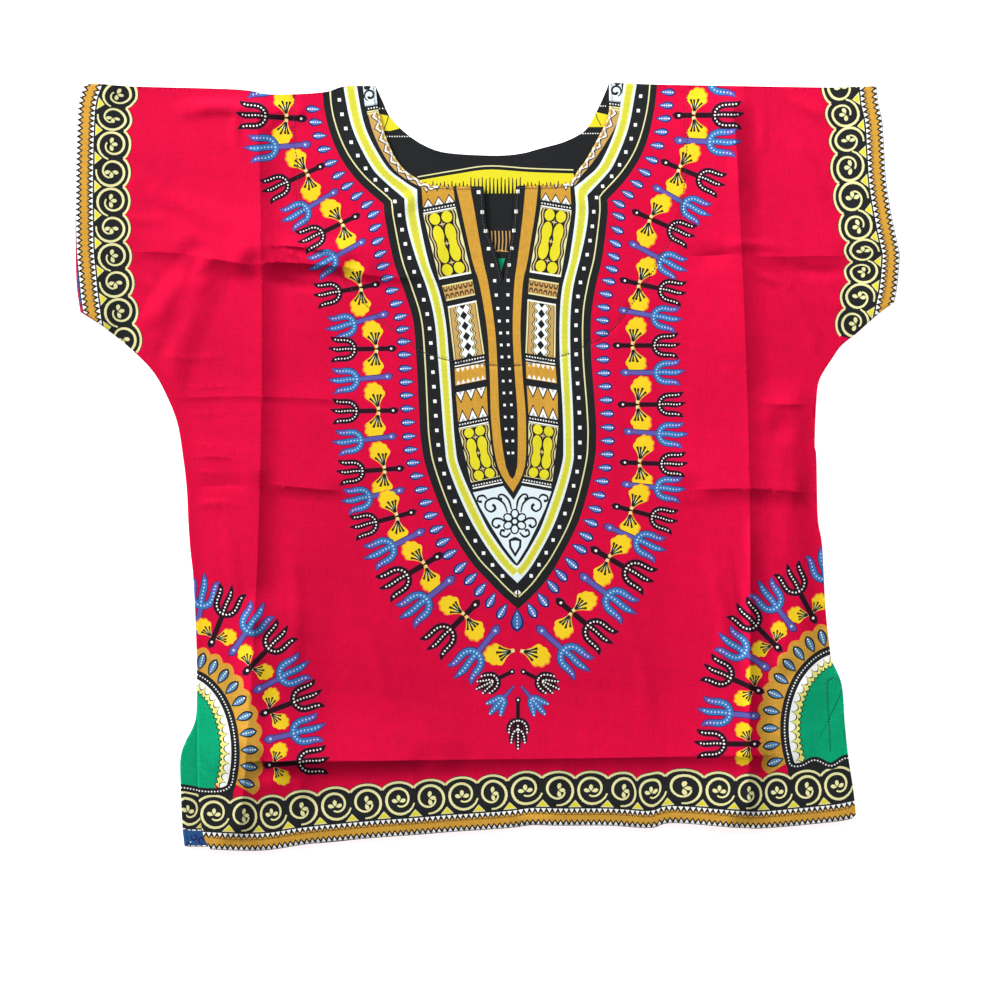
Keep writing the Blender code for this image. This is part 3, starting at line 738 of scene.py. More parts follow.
def toothed_tile(sheet, put, top, low, count):
    """An orange tile between two rows of outlined white triangles."""
    sheet.paint("orange", slab(0.0, low, 1.0, top), put)
    high = (top - low) * 0.40
    for i in range(count):
        for base, tip in ((low, low + high), (top, top - high)):
            x = (i + (0.5 if base == low else 0.45)) / count
            wide = 0.5 / count
            for colour, share in (("black", 1.0), ("white", 0.78), ("steel", 0.34)):
                sheet.paint(colour, [(x - wide * share, base), (x + wide * share, base),
                                     (x, base + (tip - base) * share)], put)


def dotted_row(sheet, put, top, low):
    """A black row with white dots and a white line under it."""
    sheet.paint("black", slab(0.0, low, 1.0, top), put)
    middle, count = low + (top - low) * 0.62, 11
    for i in range(count):
        x = (i + 0.5) / count
        sheet.paint("white", slab(x - 0.022, middle - 0.7, x + 0.022, middle + 0.7), put)
    sheet.paint("white", slab(0.0, low, 1.0, low + 1.2), put)


def arc_tile(sheet, put, top, low):
    """Two rows of small brown arches on tan."""
    sheet.paint("cream", slab(0.0, low, 1.0, top), put)
    sheet.paint("tan", slab(0.0, low + 1.3, 1.0, top - 1.3), put)
    tall = top - low
    for i in range(6):
        x = (i + 0.5) / 6
        for base, way in ((low + 2.0, 1), (top - 2.0, -1)):
            for ink, half, high in (("brown", 0.07, 0.34), ("tan", 0.034, 0.2)):
                arch = [(-1, 0), (-1, 0.55), (-0.55, 0.92), (0.55, 0.92), (1, 0.55), (1, 0)]
                sheet.paint(ink, np.array(arch) * [half, way * tall * high] + [x, base], put)


def diamond_tile(sheet, put, top, low):
    """A column of black diamonds between wavy tan edges."""
    count = 6
    sheet.paint("cream", slab(0.0, low, 1.0, top), put)
    ys = np.linspace(low, top, 37)
    phase = (ys - low) / (top - low) * 2 * math.pi * count
    for ink, inset, depth in (("brown", 0.05, 0.0), ("tan", 0.075, 0.0), ("black", 0.17, 0.045),
                              ("cream", 0.20, 0.05), ("black", 0.235, 0.05),
                              ("white", 0.265, 0.055)):
        sheet.paint(ink, between_sides(inset + depth * (1 + np.cos(phase)), ys), put)
    tall = (top - low) / (count - 1)
    for i in range(count):
        y, reach = top - i * tall, tall * 0.44
        sheet.paint("black", [(0.375, y), (0.5, min(y + reach, top)), (0.625, y),
                              (0.5, max(y - reach, low))], put)


def draw_columns(sheet):
    """The tiles down both sides of the front, between the bands."""
    for side in (-1, 1):
        put = column_map(side)
        toothed_tile(sheet, put, 284.0, 262.0, 3)
        dotted_row(sheet, put, 261.0, 255.5)
        bean_panel(sheet, put, 255.0, 191.5)
        sheet.paint("white", slab(0.0, 190.0, 1.0, 191.5), put)
        arc_tile(sheet, put, 184.0, 168.5)
        sheet.paint("white", slab(0.0, 161.5, 1.0, 163.2), put)
        diamond_tile(sheet, put, 161.5, 109.5)
        dotted_row(sheet, put, 109.0, 102.5)
        sheet.paint("orange", slab(0.0, 84.0, 1.0, 101.0), put)
        teeth(sheet, put, "white", 0.02, 0.98, 100.6, 96.4, 6)
        teeth(sheet, put, "white", 0.02, 0.98, 84.6, 88.8, 6)
        toothed_tile(sheet, put, 77.0, 47.5, 3)
        dotted_row(sheet, put, 47.0, 40.5)
        bean_panel(sheet, put, 40.0, -13.0)
        dotted_row(sheet, put, -14.5, -19.5)


def draw_tongue(sheet):
    """The orange tongue round the slit, with pairs of white squares in it."""
    outer = smooth_table(TONGUE_OUTER, 8.0)
    sheet.paint("black", both_sides(outer, grow=2.4))
    sheet.paint("orange", both_sides(outer))
    sheet.paint("black", both_sides(smooth_table(TONGUE_INNER, 8.0)))
    level = SQUARE_SPREAD[0][1]
    while level > 5.0:
        u = float(edge_table(SQUARE_SPREAD, level))
        half = np.interp(level, (100, 270), (1.25, 1.8))
        for side in (-1, 1):
            square = slab(u - half, level - half, u + half, level + half)
            sheet.paint("white", square, yoke_map(side))
        level -= np.interp(level, (150, 270), (12.0, 20.0))


CURLS = [  # places of each curl's line on the pale panel: from the axis, level
    ((7.0, -46.0), (10.0, -37.0), (18.5, -31.6), (27.5, -35.0), (28.4, -42.0), (22.8, -45.4),
     (18.4, -41.4), (21.4, -38.0)),
    ((26.6, -32.6), (30.0, -29.0), (35.4, -30.6), (35.4, -34.8), (31.8, -35.2)),
    ((2.6, -43.0), (4.6, -34.0), (9.4, -28.6), (14.0, -28.4), (14.6, -32.2), (11.4, -32.4)),
    ((8.6, -56.6), (13.6, -52.4), (20.4, -52.6), (22.6, -58.0), (18.4, -61.4), (15.0, -58.4)),
    ((4.6, -66.0), (9.2, -70.4), (14.8, -68.2), (13.6, -63.6), (10.4, -64.6)),
]


def draw_heart(sheet):
    """The pale panel in the print's tip, with curls round a rosette."""
    rows = [(9.5, -19.5), (40.2, -26.0), (33.4, -42.0), (22.6, -62.0), (12.0, -80.5),
            (0.0, -97.0)]
    left, right = yoke_map(-1)(rows), yoke_map(1)(rows[:-1])
    sheet.paint("pale", np.vstack([yoke_map(-1)([(0.0, -33.5)]), left, right[::-1]]))
    centre_y = -55.0
    for side in (-1, 1):
        for places in CURLS:
            path = curve(places, 5 + 2 * len(places))
            sheet.stroke("black", path, widths_for(path, (1.4, 2.2, 2.1, 1.8, 3.0)),
                         yoke_map(side))
    axis = float(yoke_row("axis_x", centre_y))
    for k in range(6):
        put = placed(axis, centre_y, 60 * k + 30)
        sheet.paint("black", oval(7.6, 0, 5.4, 4.7, 10), put)
        sheet.paint("pale", oval(7.8, 0, 3.7, 3.0, 10), put)
    sheet.paint("black", oval(axis, centre_y, 4.3, sides=10))
    sheet.paint("pale", oval(axis, centre_y, 2.4, sides=8))
    bud = placed(axis + 0.4, -77.0, -90, 1.15)
    sheet.paint("black", [(-5.6, 1.0), (-3.2, 5.6), (3.4, 5.2), (12.0, 0), (3.4, -5.2),
                          (-3.2, -5.6), (-5.6, -1.0)], bud)
    sheet.paint("pale", [(-2.6, 0), (-2.0, 3.6), (2.6, 3.2), (8.2, 0), (2.6, -3.2),
                         (-2.0, -3.6)], bud)


def draw_neck_strips(sheet):
    """The strips along the neckline: tan with a white wave, pale at the shoulders."""
    start = 24.0            # the tan strip starts this far down the neckline
    for places, inward in (([NECK_LEFT, *NECK_FRONT_LEFT], -1.0),
                           ([NECK_RIGHT, *NECK_FRONT_RIGHT], 1.0)):
        put = run_map(whole_run(places), inward)
        end = put.total - 6.0
        steps = np.arange(start, end, 6.0)
        depth = 11.0 - 5.6 * ease((steps - start) / (end - start))
        sheet.paint("tan", np.vstack([pair(steps, depth), [(end, -2.0), (start, -2.0)]]), put)
        wave = zigzag(start, end, 1.6, 6.6, int((end - start) / 10.5))
        wave[:, 1] *= 1 - 0.35 * ease((wave[:, 0] - start) / (end - start))
        sheet.stroke("black", wave + [0, 0.6], 3.2, put)
        sheet.stroke("white", wave, 2.0, put)
        teeth(sheet, put, "cream", 28.0, end, -1.0, 2.2, int((end - 28.0) / 7.0))
        sheet.paint("pale", slab(-8.0, -2.0, 18.0, 12.6, 8.0), put)
        curl = spiral(8.5, 6.8, (5.4, 5.0, 4.0, 1.8), 20, 400, 16)
        sheet.stroke("black", curl, widths_for(curl, (0.9, 1.9, 2.1, 2.6)), put)
        sheet.paint("black", oval(0.5, 8.5, 2.6, 3.6, 8), put)
        sheet.paint("steel", slab(17.4, -2.0, 18.8, 12.0), put)
        sheet.dots("white", [(21.4, d) for d in (1.0, 3.8, 6.6, 9.4)], 0.8, put)
        for x in (23.6, 25.8):
            sheet.paint("cream", slab(x, -2.0, x + 1.2, 11.6), put)


def fork_rows():
    """The fork table as (ink, side, x, y, turn)."""
    for ink, left_x, left_y, left_turn, right_x, right_y, right_turn in FORKS:
        yield ink, -1, left_x, left_y, left_turn
        yield ink, 1, right_x, right_y, right_turn


def winged_flowers(sheet, x, y, turn, along, spread, size):
    """The two flowers that grow from a black fork's stem."""
    for way in (-1, 1):
        foot = placed(x, y, turn)([(along, way)])[0]
        flower(sheet, placed(foot[0], foot[1], turn + way * spread, size, flip=way))


def draw_forks(sheet):
    """Forks, flowers and drops that stand round the yoke."""
    for ink, side, x, y, turn in fork_rows():
        stem = STEM_BLACK if ink == "black" else STEM_BLUE
        size = 1.0 + 0.18 * ease((-40.0 - y) / 50.0) + 0.12 * ease((y - 290.0) / 50.0)
        stem = (stem + FORK_HEAD) / size - FORK_HEAD      # larger heads stay in their places
        fork(sheet, placed(x, y, turn, size, flip=side), ink, stem)
        if ink == "black":
            winged_flowers(sheet, x, y, turn, 14.6, 77, 0.98)
    for x, turn in ((27.0, 194), (33.0, -15)):
        flower(sheet, placed(x, -184.0, turn, 1.08))
    for side, top in ((-1, 368.0), (1, 384.0)):
        turns = np.array(sorted((y, turn) for _, s, _, y, turn in fork_rows() if s == side),
                         float)
        edge = yoke_map(side)(smooth_table(yoke_edge_table(), 3.0))
        for x, y in spots_along(moved_aside(edge, 2.6 * side), 13.6, 4.0)[:-1]:
            if -85.0 < y < top:
                turn = np.interp(y, turns[:, 0], turns[:, 1])
                drop(sheet, placed(x, y, turn, 1.0 + 0.2 * ease((-20.0 - y) / 80.0)))
    for x, y, turn in TIP_DROPS:
        drop(sheet, placed(x, y, turn, 1.2))
    drop(sheet, placed(29.6, -141.2, -90), 24.5, 14.0, ink="azure")


def draw_sprigs(sheet):
    """Small sprigs below the print's tip."""
    for ink, x, y, turn, stem, kind in SPRIGS:
        frond(sheet, placed(x, y, turn), ink, stem, FINGERS[kind])


# ---------------------------------------------------------------- corners

def roundel_map(cx, cy, a, b):
    """Places (angle, d) round an ellipse, d outside its line."""
    def put(points):
        angle, d = np.asarray(points, float).T
        t = np.radians(angle)
        return pair(cx + (a + d) * np.cos(t), cy + (b + d) * np.sin(t))

    return put


def draw_roundel(sheet, cx, cy, a, b, first, last):
    """Half a roundel in a corner: green, scallops, dotted ring, orange with drops."""
    put = roundel_map(cx, cy, a, b)

    def sector(ink, angles, d):
        sheet.paint(ink, np.vstack([put(pair(angles, d)), [(cx, cy)]]))

    lobes, lobe = 12, (last - first) * 0.94 / 12
    fine = np.linspace(first, first + lobes * lobe, lobes * 7 + 1)
    bulge = 24.2 + 4.2 * np.abs(np.sin(np.linspace(0, lobes * math.pi, len(fine))))
    sector("flame", fine, bulge)
    sector("orange", fine, bulge - 1.3)
    for i in range(lobes):
        angle = first + (i + 0.5) * lobe
        start, end = put([(angle, 4.8), (angle, 23.6)])
        way = math.degrees(math.atan2(end[1] - start[1], end[0] - start[0]))
        drop(sheet, placed(start[0], start[1], way), float(np.linalg.norm(end - start)), 9.6,
             ink="steelblue", rim="black", fat=1.25)
    even = np.linspace(first, last, 40)
    sector("black", even, 4.4)
    sheet.dots("white", spots_along(put(pair(np.linspace(first, last, 60), 0.0)), 3.0), 0.85)
    sector("white", even, -4.2)
    count = 17
    shells = np.linspace(0, count * math.pi, count * 8 + 1)
    turns = np.linspace(first, last, len(shells))
    for ink, depth, tall in (("black", -6.2, 6.0), ("white", -5.2, 5.8)):
        rim = depth - tall * np.abs(np.sin(shells))**0.6
        if ink == "black":
            comb = -13.2 - 3.2 * np.abs(np.cos(shells * 1.5))
            for filling, d in (("lemonade", -4.6), ("black", comb + 0.8), ("green", comb - 0.6)):
                sector(filling, turns, d)
        sheet.paint(ink, np.vstack([put(pair(turns, -4.4)), put(pair(turns, rim))[::-1]]))
    foot, edge = put([(last, -4.2)])[0], cx + math.copysign(60.0, cx)
    sheet.paint("green", [(cx, cy + 40), put([(last, -15.5)])[0], foot - [0, 8], foot - [0, 30],
                          (edge, foot[1] - 30), (edge, cy + 40)])


def draw_corners(sheet):
    """The two corner roundels with the forks and flowers round them."""
    for roundel in ROUNDELS:
        draw_roundel(sheet, *roundel)
    for ink, x, y, turn in CORNER_FORKS:
        if ink == "black":
            winged_flowers(sheet, x, y, turn, 4.5, 62, 0.80)
        fork(sheet, placed(x, y, turn, 1.14, flip=1 if x < 0 else -1), ink,
             CORNER_STEM_BLACK if ink == "black" else CORNER_STEM_BLUE)


def draw_borders(sheet, hem, cuff_left, cuff_right):
    """Scroll borders along the hem and both cuffs."""
    for rim in RIMS:
        path = curve(rim, 26)
        sheet.paint("black", np.vstack([path, path[::-1] - [0, 18]]))
    scroll_border(sheet, hem, BORDER_START, lengths_along(hem)[-1] + 6.0)
    for rim in RIMS:
        dotted_rim(sheet, rim)
    # How far each cuff's border runs on before its start and after its end.
    for run, before, after in ((cuff_left, 12.0, 47.0), (cuff_right, 41.0, 18.0)):
        scroll_border(sheet, run, -before, lengths_along(run)[-1] + after, CUFF_SCROLL_PITCH)


def dotted_rim(sheet, places):
    """The roundel's dotted ring goes on along the top of the hem border."""
    path = curve(places, 26)
    sheet.stroke("black", path, 7.0)
    sheet.dots("white", spots_along(path, 3.1), 0.85)


def outer_print(hem, cuff_left):
    """What is printed on the outside of both panels, between their own edges."""
    sheet = Sheet()
    draw_forks(sheet)
    draw_sprigs(sheet)
    draw_corners(sheet)
    draw_borders(sheet, RUNS[hem], RUNS[cuff_left], RUNS["cuff_right"])
    draw_yoke(sheet)
    draw_columns(sheet)
    draw_heart(sheet)
    return sheet


def front_print():
    """Everything printed on the front panel."""
    sheet = outer_print("hem", "cuff_left")
    draw_tongue(sheet)
    draw_neck_strips(sheet)
    return sheet


def back_inside_print():
    """What shows of the back panel's inside: at the neck and at the left vent."""
    sheet = Sheet()
    # Behind the neck: black, with a cracked yellow patch and rows of dots on each side.
    sheet.paint("black", slab(-125, 150, 135, 395))
    for patch, crack in (
            ([(-110, 353.5), (-96, 350.5), (-88, 338.5), (-98, 336), (-110, 337)],
             [(-99, 352), (-101, 344), (-104, 337)]),
            ([(95, 340), (102, 346), (107, 355.5), (121, 352), (118, 340)],
             [(108, 355), (110, 348), (114, 341)])):
        sheet.paint("lemon", patch)
        sheet.stroke("black", crack, 0.8)
    for x0, x1, y in ((-108, -78, 330.5), (-108, -102, 358.5), (88, 118, 333.5), (111, 118, 361)):
        sheet.dots("white", spots_along([(x0, y), (x1, y)], 2.6), 0.7)
    # A yellow band with a comb of black teeth over the slit.
    rim = curve([(-70, 290), (-32, 296.5), (1.5, 301), (42, 298.5), (86, 297)], 22)
    low = np.array([(92, 276), (36, 278), (30, 273.5), (-5, 273.5), (-12, 278), (-70, 273)])
    sheet.paint("lemon", np.vstack([rim - [0, 3.6], low]))
    sheet.stroke("cream", rim, 1.2)
    for x in np.arange(-66.0, 90.0, 3.8):
        tall = 289.0 + math.sin(x) if -20 < x < 34 else 284.5 + 1.5 * math.sin(x)
        sheet.paint("black", [(x - 1.4, 270), (x + 1.4, 270), (x + 0.7, 282), (x + 0.4, tall),
                              (x - 0.4, tall), (x - 0.7, 282)])
    # Through the slit: tan strokes and a green leaf on black.
    sheet.paint("black", slab(-20, 237, 30, 271))
    for x in np.arange(0.5, 25.0, 3.6):
        sheet.stroke("tan", [(x, 236.0), (x + 0.4, 226.0), (x - 0.5, 215.0)], 1.2)
    sheet.stroke("tan", [(-1, 214.5), (12, 216.5), (25, 214.5)], 1.0)
    sheet.paint("green", [(4.5, 208), (17.5, 208.5), (14.5, 198), (12.5, 186.5), (9.0, 196)])
    # At the vents: the green of the roundels, and the border with its dotted ring.
    sheet.paint("green", slab(340, -300, 390, -200))
    sheet.paint("green", slab(-316, -361, -278, -232))
    scroll_border(sheet, RUNS["back_hem"], BORDER_START, 50.0)
    sheet.paint("denim", slab(-307, -385, -299.5, -363))
    dotted_rim(sheet, RIMS[0])
    return sheet


def turnup_print(sheet, put, length, width):
    """Dark squiggles on the blue ground of a turned-up edge."""
    for i, s in enumerate(np.arange(3.0, length - 3.0, 7.5)):
        way = 1 if i % 2 else -1
        hook = spiral(s, width * (0.52 + 0.1 * way), (3.4, 3.4, 2.4, 1.0),
                      150 * i % 360, 330 * way, 12)
        sheet.stroke("navy", hook, widths_for(hook, (0.8, 1.6, 1.7, 1.4)), put)
        if i % 3 == 0:
            sheet.dots("pale", [(s + 3.6, width * 0.3)], 0.8, put)


# ---------------------------------------------------------------- lie of the cloth

WALL = 1.0              # the solids' cloth wall
SEAM_GAP = 0.3
LAYER = WALL + SEAM_GAP         # pitch of the layers
TURNUP_WIDTH = 16.0
TURNUP_LAYERS = 2
EDGE_CLEAR = 5.0        # the cloth stays up this far past a turn-up
TURNUP_RUN = 26.0       # and then comes down over this distance
PUFF, PUFF_RUN = 1.1, 70.0      # the front rises softly from its seams over a distance
CREASE_RUN = 26.0       # folds rise from the seams over this distance
BACK_SHARE = 0.4        # height of the back's folds, as a share of the front's
FOLD_END_HEIGHT = 0.35          # a fold's height at its ends, as a share
FADE_END = 22.0         # a fold reaches its whole height over this distance
FOLD_BENDS = 8          # straight stretches in a fold's line
CREASE_STEP = 5.0       # spacing of points along folds
WRINKLE_STEP, BACK_CREASE_STEP = 9.0, 8.0
RIDGE_CLEAR = 3.2       # no point of the lattice lies nearer to a ridge
FINE_LATTICE, PLAIN_LATTICE = 6.6, 10.0
CLOTH = 0.75            # thickness of the cloth itself
FACING_DENT, FACING_REACH = 0.4, 2.6     # how the facing's stitches draw the cloth in
LIP = 1.3               # a folded edge is closed over this distance
ROLL = 2.2              # a seam's edge is rounded over this distance

# Folds: a line through three places, its height, and how far it reaches to the
# left and to the right of its direction.  sharp: 1 for a pressed crease, 0 for a
# soft ridge.  through: 1 where the back panel shares it.
FOLD_COLUMNS = ("start", "middle", "end", "height", "left", "right", "sharp", "through")
FOLDS = [
    ((-230, 368), (-227, -5), (-248, -378), 4.0, 24, 84, 1, 1),
    ((244, 380), (261, 10), (260, -358), 4.5, 26, 84, 1, 1),
    ((262, -50), (262, -150), (261, -262), 1.5, 22, 10, 1, 0),
    ((244, 380), (248, 330), (252, 270), 2.4, 20, 16, 1, 0),
    ((-357, 214), (-322, 214), (-292, 210), 1.6, 60, 12, 1, 0),
    ((-294, 211), (-262, 205), (-230, 200), 4.2, 80, 22, 1, 0),
    ((-292, 209), (-286, 200), (-279, 188), 1.8, 10, 18, 1, 0),
    ((-232, 202), (-188, 203), (-132, 198), 4.6, 66, 12, 1, 0),
    ((-214, 220), (-188, 219), (-150, 213), 1.8, 14, 4, 1, 0),
    ((-142, 199), (-110, 190), (-67, 190), 2.0, 50, 11, 1, 0),
    ((-288, 200), (-314, 172), (-338, 134), 2.4, 26, 22, 0, 0),
    ((-276, 196), (-302, 136), (-324, 70), 2.0, 24, 20, 0, 0),
    ((203, 210), (225, 211), (250, 212), -2.2, 16, 20, 1, 0),
    ((264, 210), (300, 210), (364, 211), 1.9, 60, 18, 1, 1),
    ((-314, 68), (-238, 70), (-143, 66), 0.7, 20, 8, 1, 0),
    ((-302, 8), (-276, 10), (-247, 6), 0.7, 20, 8, 1, 0),
    ((-300, -21), (-262, -19), (-230, -20), -0.9, 16, 14, 1, 0),
    ((-222, -17), (-186, -21), (-142, -25), 2.2, 50, 14, 1, 0),
    ((203, -24), (264, -22), (329, -28), 2.8, 60, 20, 1, 1),
    ((273, 64), (300, 62), (327, 63), 1.2, 20, 8, 1, 0),
    ((-246, -294), (16, -292.5), (290, -288), 3.2, 70, 19, 1, 0),
    ((-240, -294), (-150, -294.5), (-60, -293), 2.2, 60, 30, 1, 0),
    ((294, 40), (300, -70), (302, -210), 2.8, 60, 44, 0, 0),
    ((-228, -170), (-226, -230), (-226, -300), 4.4, 76, 30, 0, 0),
    ((26, -350), (48, -354), (72, -361), 2.0, 12, 10, 0, 0),
    ((-347, 281), (-298, 259), (-248, 236), 1.2, 18, 16, 0, 0),
    ((292, 380), (318, 362), (346, 346), 1.4, 16, 12, 0, 0),
    ((-300, 361), (-250, 363), (-192, 359), 3.6, 10, 16, 0, 0),
    ((-60, 276), (-84, 262), (-104, 242), 1.0, 14, 12, 0, 0),
    ((84, 276), (102, 262), (118, 244), 1.0, 12, 12, 0, 0),
]
THROUGH = [row for row in FOLDS if row[FOLD_COLUMNS.index("through")]]
# Smaller wrinkles of the upper panel, in the same columns; troughs are below 0.
WRINKLES = [
    ((-232, 190), (-196, 183), (-160, 178), -1.0, 9, 9, 0, 0),
    ((-214, 221), (-196, 212), (-170, 204), 0.8, 6, 6, 1, 0),
    ((-331, 116), (-300, 108), (-262, 112), 0.3, 6, 6, 0, 0),
    ((-306, 80), (-280, 79), (-250, 81), 0.3, 5, 5, 1, 0),
    ((-300, 55), (-281, 52), (-262, 54), 0.3, 5, 5, 1, 0),
    ((-302, 20), (-285, 22), (-266, 19), 0.3, 5, 5, 1, 0),
    ((-300, -6), (-280, -5), (-262, -8), 0.3, 5, 5, 1, 0),
    ((-298, -40), (-276, -36), (-250, -38), 0.6, 6, 6, 0, 0),
    ((230, 218), (262, 222), (300, 219), 0.8, 8, 8, 0, 0),
    ((300, 200), (330, 194), (358, 197), -0.8, 9, 9, 0, 0),
    ((258, 205), (276, 190), (301, 182), 0.8, 7, 7, 0, 0),
    ((266, 100), (282, 60), (279, 20), 0.3, 9, 9, 0, 0),
    ((222, -96), (236, -150), (232, -212), 0.9, 12, 12, 0, 0),
    ((246, -90), (254, -150), (250, -205), -0.7, 8, 8, 0, 0),
    ((276, -60), (289, -110), (296, -170), 0.4, 12, 12, 0, 0),
    ((308, -10), (299, -60), (303, -108), 0.3, 10, 10, 0, 0),
    ((-262, -60), (-254, -120), (-258, -180), 0.7, 12, 12, 0, 0),
    ((-196, -80), (-190, -150), (-197, -214), 0.6, 11, 11, 0, 0),
    ((-150, -120), (-120, -170), (-96, -240), 0.6, 13, 13, 0, 0),
    ((120, -130), (150, -180), (160, -250), 0.6, 13, 13, 0, 0),
    ((-242, 364), (-252, 340), (-246, 312), 0.9, 9, 9, 0, 0),
    ((-205, 366), (-214, 348), (-226, 330), 0.8, 8, 8, 0, 0),
    ((-184, 370), (-190, 352), (-196, 340), 0.7, 7, 7, 0, 0),
    ((-380, 340), (-352, 318), (-330, 286), 0.8, 12, 12, 0, 0),
    ((-372, 255), (-346, 246), (-322, 248), 0.6, 9, 9, 0, 0),
    ((-352, 190), (-330, 176), (-316, 150), 0.8, 10, 10, 0, 0),
    ((300, 330), (322, 300), (336, 262), 0.8, 13, 13, 0, 0),
    ((340, 180), (352, 160), (366, 148), 0.8, 9, 9, 0, 0),
    ((302, 176), (322, 140), (334, 108), 0.8, 11, 11, 0, 0),
    ((270, 366), (276, 340), (270, 310), 0.7, 9, 9, 0, 0),
    ((200, 374), (206, 352), (216, 338), 0.6, 8, 8, 0, 0),
    ((-80, -304), (-74, -326), (-82, -350), 0.6, 9, 9, 0, 0),
    ((70, -306), (62, -330), (70, -352), 0.6, 10, 10, 0, 0),
    ((190, -303), (198, -326), (190, -350), 0.6, 10, 10, 0, 0),
    ((-180, -300), (-188, -330), (-176, -362), 0.6, 10, 10, 0, 0),
    ((40, 20), (70, 60), (74, 104), 0.3, 12, 12, 0, 0),
    ((-40, 250), (-52, 200), (-50, 150), 0.3, 12, 12, 0, 0),
]
FACING = [  # the line of stitches that holds the neck facing, from end to end
    (-193.5, 377.5), (-193.5, 322.0), (-191.0, 310.5), (-186.5, 263.0),
    (-168.5, 215.5), (-146.5, 189.5), (-111.5, 151.5), (-73.0, 119.5),
    (-58.5, 112.5), (-38.5, 106.5), (1.5, 102.0), (34.5, 102.0), (76.5, 111.5),
    (94.5, 119.5), (127.5, 140.5), (169.5, 202.5), (191.5, 246.5),
    (195.5, 271.5), (199.5, 326.5), (199.5, 380.0),
]
VENT_STITCHES = [(350.5, -213.0), (339.5, -213.5), (341.0, -258.5), (342.5, -290.0)]


def ease(t):
    """Smooth step from 0 to 1."""
    t = np.clip(t, 0.0, 1.0)
    return t * t * (3 - 2 * t)


def run_distance(points, run):
    """Shortest distance from each point to a run, and how far it lies to the
    left of it, from 1 to -1 on its right."""
    best = np.full(len(points), np.inf)
    side = np.zeros(len(points))
    for start, end in zip(run[:-1], run[1:]):
        step = end - start
        t = np.clip(((points - start) @ step) / (step @ step), 0, 1)
        off = points - start - t[:, None] * step
        away = np.hypot(off[:, 0], off[:, 1])
        nearer = away < best
        best[nearer] = away[nearer]
        cross = step[0] * off[nearer, 1] - step[1] * off[nearer, 0]
        side[nearer] = cross / (math.hypot(*step) * np.maximum(away[nearer], 1e-6))
    return best, side


def fold_line(start, middle, end):
    """The polyline of a fold that passes through its start, middle and end."""
    start, middle, end = (np.array(p, float) for p in (start, middle, end))
    handle = middle * 2 - (start + end) * 0.5
    t = np.linspace(0, 1, FOLD_BENDS + 1)[:, None]
    return start * (1 - t)**2 + handle * (2 * t * (1 - t)) + end * t**2


def fold_height(points, row):
    """Height that one fold gives to each point of the cloth."""
    fold = dict(zip(FOLD_COLUMNS, row))
    line = fold_line(fold["start"], fold["middle"], fold["end"])
    out = np.zeros(len(points))
    widest = max(fold["left"], fold["right"])
    low, high = line.min(axis=0) - widest, line.max(axis=0) + widest
    near = np.all((points > low) & (points < high), axis=1)
    if not near.any():
        return out
    p = points[near]
    away, side = run_distance(p, line)
    reach = (fold["left"] * (1 + side) + fold["right"] * (1 - side)) / 2
    share = np.clip(1 - away / reach, 0, 1)
    short, long = sorted((fold["left"], fold["right"]))
    shape = share**(2 - 0.6 * (reach - short) / (long - short + 1)) if fold["sharp"] else ease(share)
    along = np.minimum(np.hypot(*(p - line[0]).T), np.hypot(*(p - line[-1]).T))
    held = FOLD_END_HEIGHT + (1 - FOLD_END_HEIGHT) * ease(along / FADE_END)
    out[near] = fold["height"] * shape * held
    return out


def above(run, level):
    """The part of a run above a level."""
    return run[run[:, 1] > level]


def closed(outline):
    """An outline with its first point again at its end."""
    return np.vstack([outline, outline[:1]])


FRONT_EDGE, BACK_EDGE = outline_of(FRONT_EDGES), outline_of(BACK_EDGES)
SEAM_RUNS = [
    whole_run(EDGES["shoulder_right"], COARSE), whole_run(EDGES["shoulder_left"], COARSE),
    above(whole_run(EDGES["side_left"], COARSE), VENT_TOP_LEFT),
    above(whole_run(EDGES["side_right"], COARSE), VENT_TOP_RIGHT),
]
FRONT_TURNED = ("hem", "cuff_left", "cuff_right")
BACK_TURNED = ("back_hem", "back_cuff_left", "cuff_right")
TURNED_RUNS = [whole_run(EDGES[name], COARSE) for name in BACK_TURNED]


def nearest(points, runs):
    """Distance from each point to the nearest of several runs."""
    return np.min([run_distance(points, run)[0] for run in runs], axis=0)


class Away:
    """Distance to a set of runs: read off a grid, and exact close to them."""

    STEP = 5.0
    LOW = np.array([-430.0, -405.0])
    SHAPE = (174, 164)

    def __init__(self, coarse, fine=()):
        index = np.stack(np.meshgrid(*(np.arange(n) for n in self.SHAPE), indexing="ij"), -1)
        grid = nearest(index.reshape(-1, 2) * self.STEP + self.LOW, coarse)
        self.grid, self.fine = grid.reshape(self.SHAPE), fine

    def __call__(self, points):
        at = (points - self.LOW) / self.STEP
        cell = np.clip(at.astype(int), 0, np.array(self.SHAPE) - 2)
        u, v = (at - cell).T
        i, j = cell.T
        g = self.grid
        away = ((g[i, j] * (1 - u) + g[i + 1, j] * u) * (1 - v)
                + (g[i, j + 1] * (1 - u) + g[i + 1, j + 1] * u) * v)
        close = away < 1.2 * self.STEP
        if self.fine and close.any():
            away[close] = nearest(points[close], self.fine)
        return away


def ripple(points):
    """The faint unevenness of cloth that was ironed and folded."""
    x, y = points.T
    return (0.16 * np.sin(x / 17.0 + 1.3 * np.sin(y / 41.0))
            + 0.14 * np.sin(y / 19.0 + 1.1 * np.sin(x / 37.0 + 2.0))
            + 0.06 * np.sin((x + y) / 7.3) * np.sin((x - 1.7 * y) / 11.0))


